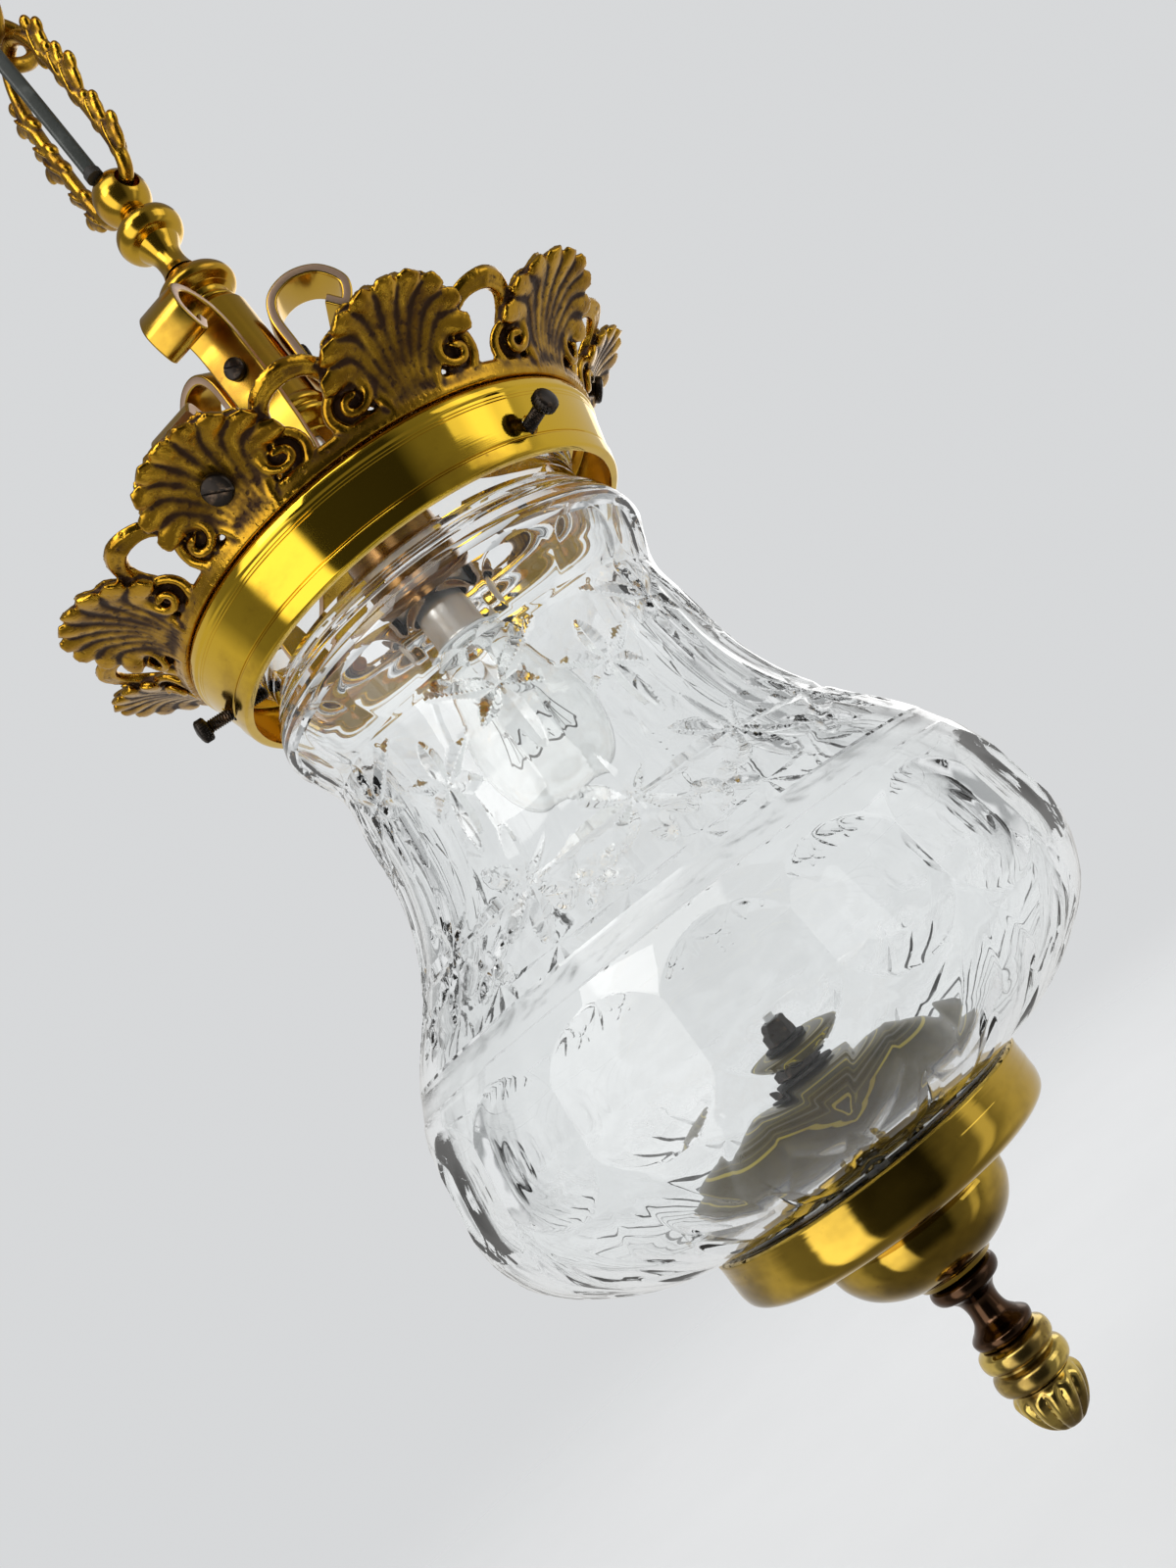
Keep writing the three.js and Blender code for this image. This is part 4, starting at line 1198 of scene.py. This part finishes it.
coil = []
for t in np.linspace(0, 1, 1500):
    a = math.pi * (1 - t)
    ring_r = 7.0
    spin = t * 2 * math.pi * 90
    lift = 0.32 * math.sin(spin)
    reach = ring_r + 0.32 * math.cos(spin)
    coil.append((reach * math.cos(a), reach * math.sin(a), BALL_Z - 205 + lift + 0.9 * math.sin(a * 5)))
filament = swept("filament_coil_fine", coil, circle(0.09, 5))
finish_piece(filament, "bulb", "nickel", tungsten_wire)
print("filament", len(coil), "steps")

# %% [markdown]
# ## The clamp inside the glass and the cup below it
# A domed dish inside the glass and a cup outside it pinch its foot between them, pulled together by a
# rod and a nut. The dish is duller and olive with age, with rings spun into it. The cup is bright, has a
# fine milled line under its rim, and clouds of tarnish. Under it hangs a dome.

# %% Clamp
dish_top = spline([(4.6, 313.4), (20, 315), (34, 321), (42.4, 327.2)], 60)
ring_steps = 0.22 * np.sin(dish_top[:, 0] * 1.5) * (np.abs((dish_top[:, 0] % 12) - 6) < 2.4)
dish_top[:, 1] -= ring_steps
dish_under = rounded([(42.6, 327.6), (42.2, 328.3), (33, 323.2), (20, 317.2), (3.3, 315.6),
                      (3.3, 313.4)], 0.4)
turned_brass("clamp_dish", np.vstack([dish_top, dish_under]), dish_brass)
washer_outline = rounded([(3.3, 312.2), (9, 312.2), (9, 313.1), (3.3, 313.1)], 0.2)
finish_piece(turned("clamp_washer_fine", washer_outline, 64), "lantern", "rubber", rubber, "clamp_washer")
seat_outline = rounded([(38, 338.3), (42.8, 338.3), (42.8, 339.8), (38, 339.8)], 0.3)
finish_piece(turned("glass_seat_fine", seat_outline, 96), "lantern", "rubber", rubber, "glass_seat")


def hexagon(angle):
    """The radius of a hexagon of unit inner radius, a little rounded at its corners."""
    within = (angle + math.pi / 6) % (math.pi / 3) - math.pi / 6
    return np.minimum(1 / np.cos(within), 1.12)


def nut(node, top, bottom, across, bore, body, slot, material):
    """A hexagon nut `across` its flats, with its corners turned off at both faces."""
    half = across / 2
    outline = [(half * 0.86, top), (half, top + 0.7), (half, bottom - 0.7), (half * 0.86, bottom),
               (bore, bottom), (bore, top)]
    angles = np.arange(96) * 2 * math.pi / 96
    rings = []
    for r, d in outline:
        reach = r * hexagon(angles) if r > bore + 0.1 else r
        level = np.full(len(angles), BALL_Z - d)
        rings.append(np.column_stack([reach * np.sin(angles), -reach * np.cos(angles), level]))
    obj = make_object(f"{node}_fine", np.concatenate(rings), grid_faces(len(rings), 96, close_rows=True), 25)
    finish_piece(obj, body, slot, material, node)


nut("clamp_nut", 306.9, 311.9, 12, 3.3, "lantern", "black_steel", steel)
ROD_R, ROD_PITCH, THREAD_DEEP = 3.0, 1.0, 0.28
thread = [(ROD_R - THREAD_DEEP * abs(depth / ROD_PITCH % 1.0 - 0.5) * 2, depth)
          for depth in np.linspace(303.6, 384.4, 320)]
rod_outline = [(0, 303), (2.4, 303.2), *thread, (2.4, 384.8), (0, 385)]
finish_piece(turned("tie_rod_fine", rod_outline, 40), "lantern", "nickel", nickel, "tie_rod")

# %% Cup and dome
CUP_R = 45.7
milled_line = [(CUP_R - (0.12 if k % 2 else 0), 336.8 + 0.45 * k) for k in range(7)]
cup_wall = [(CUP_R, 336.4), *milled_line, (CUP_R, 340.2)]
cup_outline = np.vstack([
    rounded([(43.4, 334.6), (44.9, 334.6), (45.9, 335.2), (45.7, 336.2)], 0.4),
    cup_wall,
    spline([(45.65, 341), (45.5, 344.4), (44.4, 347.2), (41.4, 349.0), (38, 349.3)], 20),
    rounded([(34, 349.3), (28, 349.3), (3.3, 349.3), (3.3, 347.4), (40, 347.2), (43.2, 344),
             (43.4, 336)], 0.5),
])
turned_brass("bottom_cup", cup_outline, cup_brass, 192)

dome_outline = np.vstack([
    rounded([(3.3, 349.5), (27, 349.5), (27.4, 350.3), (27.0, 351.2), (25.2, 351.5), (25.0, 352.2)], 0.3),
    spline([(25.2, 352.6), (25.6, 355), (24.6, 359.2), (21.6, 363.6), (16.8, 367), (11.2, 369)], 36),
    rounded([(10.8, 369.3), (10.2, 370.5), (3.3, 370.6)], 0.3),
])
turned_brass("bottom_dome", dome_outline, cup_brass, 160)

# %% [markdown]
# The finial screws on the end of the rod as one hand-sized knob: a dark bronze spool, two bead rings and a
# fluted acorn. The flutes are a ripple of the turned radius, which fades out at the cup and the tip.

# %% Finial
spool_finial = np.vstack([
    [(3.4, 370.9), (6.8, 370.9)],
    spline([(7.4, 371.2), (9.2, 372.0), (9.6, 373.6), (8.8, 375.2), (7.2, 376.0)], 16),
    spline([(6.4, 376.4), (5.0, 378.2), (4.5, 380.8), (5.0, 383.4), (6.6, 385.4)], 16),
    spline([(7.2, 385.8), (8.3, 386.9), (8.2, 388.2), (7.6, 389.2)], 10),
])
finial_body = np.vstack([[(0, 385.8), (3.4, 385.8)], spool_finial[:-1], [(7.6, 389.2), (0, 389.2)]])
finish_piece(turned("finial_spool_fine", finial_body, 96), "finial", "bronze", bronze, "finial_spool")

bead_outline = np.vstack([
    [(0, 389.5), (7.8, 389.5)],
    spline([(8.2, 389.7), (9.6, 390.7), (10, 392.4), (9.6, 394.0), (8.4, 394.9)], 16),
    spline([(8.5, 395.3), (9.9, 396.5), (10.3, 398.3), (9.8, 400), (8.6, 400.9)], 16),
    [(7.6, 401.1), (0, 401.1)],
])
turned_brass("finial_beads", bead_outline, finial_brass, 96, "finial")


def flutes(angle, depth):
    """Twelve leaves pressed round the acorn, each with a crisp ridge, closing to the tip."""
    fade = np.clip((depth - 401.8) / 2.2, 0, 1) * np.clip((414.8 - depth) / 3.0, 0, 1)
    lean = (depth - 401) * 0.02
    return 1 + fade * (0.13 * np.abs(np.cos(6 * (angle + lean))) - 0.07)


acorn_line = spline([(8.0, 401.4), (9.0, 403.2), (8.6, 406.4), (7.0, 410.0), (4.4, 413.0), (1.2, 414.5)], 50)
acorn_outline = np.vstack([[(0, 401.3), (7.4, 401.3)], acorn_line, [(0, 414.7)]])
acorn = turned("finial_acorn_fine", acorn_outline, 144, flutes, 40)
finish_piece(acorn, "finial", "polished_brass", finial_brass, "finial_acorn")
print("finial ends at depth", acorn_outline[-1][1])

# %% [markdown]
# ## Chain link, ring and hook
# The link is a flat oval with leaves cast along its sides. Its lower bow is plain and round where it runs
# through the ball, so that the lamp can swing. Each leaf is a flattened bead set slantwise on the wire,
# with a smaller one at its root, and the whole is melted together like the crown.

# %% Chain link
LINK_HALF_W, LINK_WIRE_R, RING_WIRE_R, PLAY = 13.5, 2.7, 2.2, 0.3
link_half_h = (RING_Z + LINK_WIRE_R + RING_WIRE_R + PLAY - BALL_Z) / 2
UP = np.array([0.0, 0.0, 1.0])
LEAF_SLANT = math.radians(20)
LEAF_SIZES = (1.3, 1.05, 1.5, 1.15, 1.35)


def link_point(a):
    """The link's centre line: nearly square at the bow in the ball, round at the top bow."""
    power = 0.4 if math.sin(a) < 0 else 0.8
    x = LINK_HALF_W * math.copysign(abs(math.cos(a)) ** power, math.cos(a))
    z = link_half_h * math.copysign(abs(math.sin(a)) ** power, math.sin(a))
    return LINK_SIDE * x + UP * (BALL_Z + link_half_h + z)


def leaf(root, outwards, big):
    """Three lobes, a vein on each face and a swelling on the inner side, all leaning off the bar."""
    leaning = outwards * math.cos(LEAF_SLANT) - UP * math.sin(LEAF_SLANT)
    rising = outwards * math.sin(LEAF_SLANT) + UP * math.cos(LEAF_SLANT)
    lobes = [
        (outwards * 1.9, (2.9 * big, 2.0, 3.9 * big)),
        (outwards * 3.9 * big + UP * 2.2, (1.9 * big, 1.5, 2.0 * big)),
        (outwards * 1.6 * big + UP * 5.4 * big, (1.7 * big, 1.7, 1.9 * big)),
        (outwards * 1.6 + LINK_FACE * 1.9, (0.7, 0.9, 3.6 * big)),
        (outwards * 1.6 - LINK_FACE * 1.9, (0.7, 0.9, 3.6 * big)),
        (outwards * -1.2 - UP * 2.4, (1.8, 2.1, 2.6 * big)),
    ]
    return [ball_arrays(root + offset, radii, [leaning, LINK_FACE, rising]) for offset, radii in lobes]


link_angles = np.linspace(0, 2 * math.pi, 241)[:-1]
link_line = np.array([link_point(a) for a in link_angles])
link_parts = [swept_arrays(link_line, circle(2.2, 14), side=LINK_FACE, closed=True)]
for side in (1, -1):
    bar = link_line[np.sign(link_line @ LINK_SIDE) == side]
    for height, big in zip(np.linspace(9, 48, len(LEAF_SIZES)), LEAF_SIZES):
        root = bar[np.argmin(np.abs(bar[:, 2] - (BALL_Z + height)))]
        link_parts += leaf(root, LINK_SIDE * side, big)
link = cast("chain_link_fine", link_parts, 0.36, reach=8, gain=1.2)
finish_piece(link, "link", "cast_brass", gilt, "chain_link")

# %% [markdown]
# The ring and the hook are plain wire. The hook is a straight rod that bends three quarters of the way round
# the ring's wire and thins to a rounded tip.

# %% Ring and hook
RING_R, HOOK_R, HOOK_WIRE_R = 9, 8, 2.8
ring_angles = np.linspace(0, 2 * math.pi, 97)[:-1]
ring_line = [LINK_FACE * RING_R * math.sin(a) + UP * (RING_Z + RING_R - RING_R * math.cos(a))
             for a in ring_angles]
ring = swept("hanging_ring_fine", ring_line, circle(RING_WIRE_R, 20), side=LINK_SIDE, closed=True)
mark_hollows(ring, 3, 0.2)
finish_piece(ring, "ring", "cast_brass", gilt, "hanging_ring")

bend = [math.radians(t) for t in (60, 0, -45, -90, -135, -180, -215)]
hook_points = [UP * z for z in (-4.3, -20, HOOK_Z + 21)]
hook_middle = UP * (HOOK_Z + HOOK_R)
hook_points += [hook_middle + HOOK_R * (LINK_SIDE * math.cos(t) + UP * math.sin(t)) for t in bend]
hook_line = spline(hook_points, 110)
hook_scale = np.interp(np.linspace(0, 1, len(hook_line)), [0, 0.93, 0.98, 1], [1, 1, 0.75, 0.3])
hook = swept("ceiling_hook_fine", hook_line, circle(HOOK_WIRE_R, 24), hook_scale, LINK_FACE)
mark_hollows(hook, 3, 0.2)
finish_piece(hook, "ceiling_fitting", "cast_brass", gilt, "ceiling_hook")

# %% [markdown]
# ## Ceiling plate and rose
# Above the ring a hook hangs from a plate that is screwed to the ceiling, and a spun rose covers the wiring.
# The rose is a thin shell with a rolled rim, a step and a collar for the hook.

# %% Ceiling fitting


def fitting(points):
    """Outline points given as (radius, height below the ceiling)."""
    return [(r, d + BALL_Z) for r, d in points]


plate_rim = rounded(fitting([(41, 0), (42, 0.6), (42, 2.6), (41, 3)]), 0.3)
turned_brass("ceiling_plate", [(0, BALL_Z), *plate_rim, (0, BALL_Z + 3)], polished, body="ceiling_fitting")
rose_outline = np.vstack([
    rounded(fitting([(44, 3.4), (45.6, 3.3), (46.2, 4.4), (45.8, 6.0), (43.4, 6.8)]), 0.5),
    spline(fitting([(42.6, 7.6), (40.6, 12), (34, 17.6), (24, 22.2), (14.8, 25.4)]), 40),
    rounded(fitting([(14.6, 26.0), (9, 27.2), (8.4, 28.3), (4.4, 28.3), (4.4, 26.4), (13.4, 24.4)]), 0.5),
    spline(fitting([(14, 24), (24, 20.6), (33, 15.8), (39.4, 10.6), (41.6, 5.2)]), 30),
])
turned_brass("ceiling_rose", rose_outline, polished, 160, "ceiling_fitting")
nut("hook_nut", BALL_Z + 20.9, BALL_Z + 24.9, 11, 3.1, "ceiling_fitting", "nickel", nickel)

# %% [markdown]
# ## The cable
# A flat twin cable drops from the rose past the ring, slips through the link and goes into the ball beside
# the link's bow, through a rubber grommet. It crosses three joints, so it is three pieces that meet in
# the middle of a body. The pieces are made in place and are not attached to any body.

# %% Cable
CABLE_ROUTE = [(-4, -14.5, -30), (-4, -14.2, -48), (-3.6, -12.8, -64), (-3.2, -11.2, -80), (-2.8, -9.4, -94),
               (-2.5, -7.2, -109), (-2.3, -5, -122.5)]


def twin_section():
    """Two round cores side by side in one jacket, with a valley between them."""
    a = np.arange(40) * 2 * math.pi / 40
    core, apart = 1.25, 1.05
    x = np.sign(np.cos(a)) * apart + core * np.cos(a)
    y = core * np.sin(a) * (1 - 0.28 * np.exp(-((x / 0.6) ** 2)))
    return np.stack([x, y], -1)


cable_line = spline(CABLE_ROUTE, 240)
for name, high, low, upper_body, lower_body, bend_from, bend_to in (
    ("upper", -30, -62.2, "ceiling_fitting", "ring", -46, -60),
    ("middle", -62.2, -92.4, "ring", "link", -66, -82),
    ("lower", -92.4, -122.6, "link", "lantern", -102, -121),
):
    stretch = cable_line[(cable_line[:, 2] <= high + 1e-6) & (cable_line[:, 2] >= low - 0.4)]
    piece = swept(f"cable_{name}_fine", stretch, twin_section(), side=(1, 0.15, 0.1))
    piece.data.materials.append(jacket)
    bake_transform(piece)
    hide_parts(f"cable_{name}")

grommet_line = [(-2.3, -5.0, BALL_Z + 9.4 - k * 0.7) for k in range(5)]
grommet = swept("cable_grommet_fine", grommet_line, circle(2.7, 24), [0.86, 1, 1, 1, 1])
finish_piece(grommet, "lantern", "rubber", rubber)

# %% [markdown]
# ## Floor and light
# The studio is a pale floor below the lamp and an even pale surround. The floor fades out at its edge, so
# that no horizon shows.

# %% Floor
FLOOR_Z, FLOOR_R, FLOOR_SIDES = -0.66, 2.4, 96
floor_mesh = bpy.data.meshes.new("floor")
floor_edge = circle(FLOOR_R, FLOOR_SIDES)
floor_mesh.from_pydata([(x, y, FLOOR_Z) for x, y in floor_edge], [], [list(range(FLOOR_SIDES))])
floor = bpy.data.objects.new("floor", floor_mesh)
bpy.context.scene.collection.objects.link(floor)
floor.visible_glossy = False


def pale_floor():
    f = Finish("pale_floor")
    x, y, _ = f.split(f.here())
    distance = f.root(x * x + y * y)
    tint = f.blend(f.noise(f.here(), 14.0, 4.0), (0.78, 0.79, 0.80), (0.82, 0.83, 0.84))
    pale = f.add("ShaderNodeBsdfPrincipled", None, Base_Color=tint, Roughness=0.85)
    clear = f.add("ShaderNodeBsdfTransparent")
    fade = f.add("ShaderNodeMixShader", None, distance.ease(0.35, 1.5), pale, clear)
    f.tree.links.new(fade.socket, f.out.inputs["Surface"])
    return f.material


floor_mesh.materials.append(pale_floor())

# %% [markdown]
# Polished brass is only as good as what it reflects. So the surround that reflections see is dim towards
# the viewer, with bright windows in it, and pale at the sides. What shows through the glass is pale
# straight behind the lamp and patchy elsewhere, so that the facets, which bend the view, stand out.

# %% Surround


class Surround(Finish):
    """The same tools for the nodes of the world."""

    def __init__(self, world):
        world.use_nodes = True
        self.tree = world.node_tree
        self.tree.nodes.clear()
        self.out = self.tree.nodes.new("ShaderNodeOutputWorld")


world = bpy.data.worlds.new("studio")
bpy.context.scene.world = world
w = Surround(world)
ray = w.tree.nodes.new("ShaderNodeLightPath")
direction = w.add("ShaderNodeTexCoord", out="Generated")
wx, wy, wz = w.split(direction)


def along_direction(axis):
    return wx * axis.x + wy * axis.y + wz * axis.z


def window(centre, half_x, half_z, soft=0.05):
    """A soft-edged bright rectangle in the surround, facing a direction."""
    middle = Vector(centre).normalized()
    side = Vector((-middle.y, middle.x, 0)).normalized()
    facing = along_direction(middle)
    inside = facing.ease(0.0, 0.05)
    for axis, half in ((side, half_x), (middle.cross(side), half_z)):
        offset = along_direction(axis) / facing
        inside = inside * (1 - offset.maths("ABSOLUTE", offset).ease(half - soft, half))
    return inside


azimuth = wx.maths("ARCTAN2", wx, 0 - wy) / (2 * math.pi) + 0.5
ROOM = [(0.00, 0.66), (0.235, 0.66), (0.27, 0.26), (0.325, 0.20), (0.335, 2.1), (0.415, 2.1), (0.425, 0.045),
        (0.57, 0.03), (0.60, 0.19), (0.66, 0.24), (0.68, 0.8), (0.70, 0.8), (0.715, 0.28), (0.765, 0.66),
        (1.00, 0.66)]
around = w.add("ShaderNodeValToRGB", {"stops": [(at, (v, v * 0.99, v * 0.97)) for at, v in ROOM]}, azimuth)
ceiling = window((-0.25, -1, 1.1), 0.42, 0.3)
tall = w.blend(wz.ease(0.42, 0.62), around, (0.24, 0.23, 0.22))
tall = w.blend((0 - wz).ease(0.5, 0.9), tall, (0.22, 0.21, 0.20))
glossy = w.blend(ceiling, tall, (2.6, 2.58, 2.5))
patches = w.noise(direction, 3.4, 1.0).ease(0.42, 0.60)
room_behind = w.blend(patches, (0.34, 0.35, 0.355), (0.80, 0.81, 0.82))
through = w.blend(wy.ease(0.74, 0.93), room_behind, (0.78, 0.79, 0.80))
diffuse = w.blend(wz.ease(-0.6, 0.8), (0.55, 0.55, 0.55), (0.82, 0.82, 0.82))
seen = w.blend(Socket(w, ray.outputs["Is Glossy Ray"]), diffuse, glossy)
seen = w.blend(Socket(w, ray.outputs["Is Transmission Ray"]), seen, through)
seen = w.blend(Socket(w, ray.outputs["Is Camera Ray"]), seen, (0.68, 0.69, 0.70))
background = w.add("ShaderNodeBackground", None, Color=seen, Strength=1.0)
w.tree.links.new(background.socket, w.out.inputs["Surface"])


# %% [markdown]
# Three large soft lamps give the screws, the cable and the hollows of the castings their shading. The
# camera and the glass don't see them.

# %% Lamps


def soft_light(name, spot, aim, size, watts, colour=(1, 1, 1)):
    data = bpy.data.lights.new(name, "AREA")
    data.shape, data.size, data.energy, data.color = "SQUARE", size, watts, colour
    lamp = bpy.data.objects.new(name, data)
    bpy.context.scene.collection.objects.link(lamp)
    lamp.location = spot
    lamp.rotation_mode = "QUATERNION"
    lamp.rotation_quaternion = (Vector(aim) - Vector(spot)).to_track_quat("-Z", "Y")
    lamp.visible_camera = False
    lamp.visible_transmission = False


middle = (0, 0, (BALL_Z - 200) * MM)
soft_light("key_light", (-0.7, -1.1, 0.55), middle, 0.7, 5, (1.0, 0.985, 0.96))
soft_light("fill_light", (1.2, -0.5, -0.1), middle, 0.8, 2)
soft_light("back_light", (0.3, 1.2, 0.2), middle, 1.0, 3)

# %% [markdown]
# ## Rendering settings that belong to the look
# Light has to pass both walls of the glass twice and the bulb as well, so the paths are allowed many
# transmissions. Very bright glints are limited, so that they stay clean.

# %% Light paths
scene = bpy.context.scene
scene.cycles.max_bounces = 24
scene.cycles.transmission_bounces = 20
scene.cycles.glossy_bounces = 8
scene.cycles.diffuse_bounces = 3
scene.cycles.transparent_max_bounces = 16
scene.cycles.sample_clamp_indirect = 6
scene.cycles.blur_glossy = 0.6
scene.cycles.use_denoising = True
scene.view_settings.view_transform = "Standard"
scene.view_settings.look = "None"
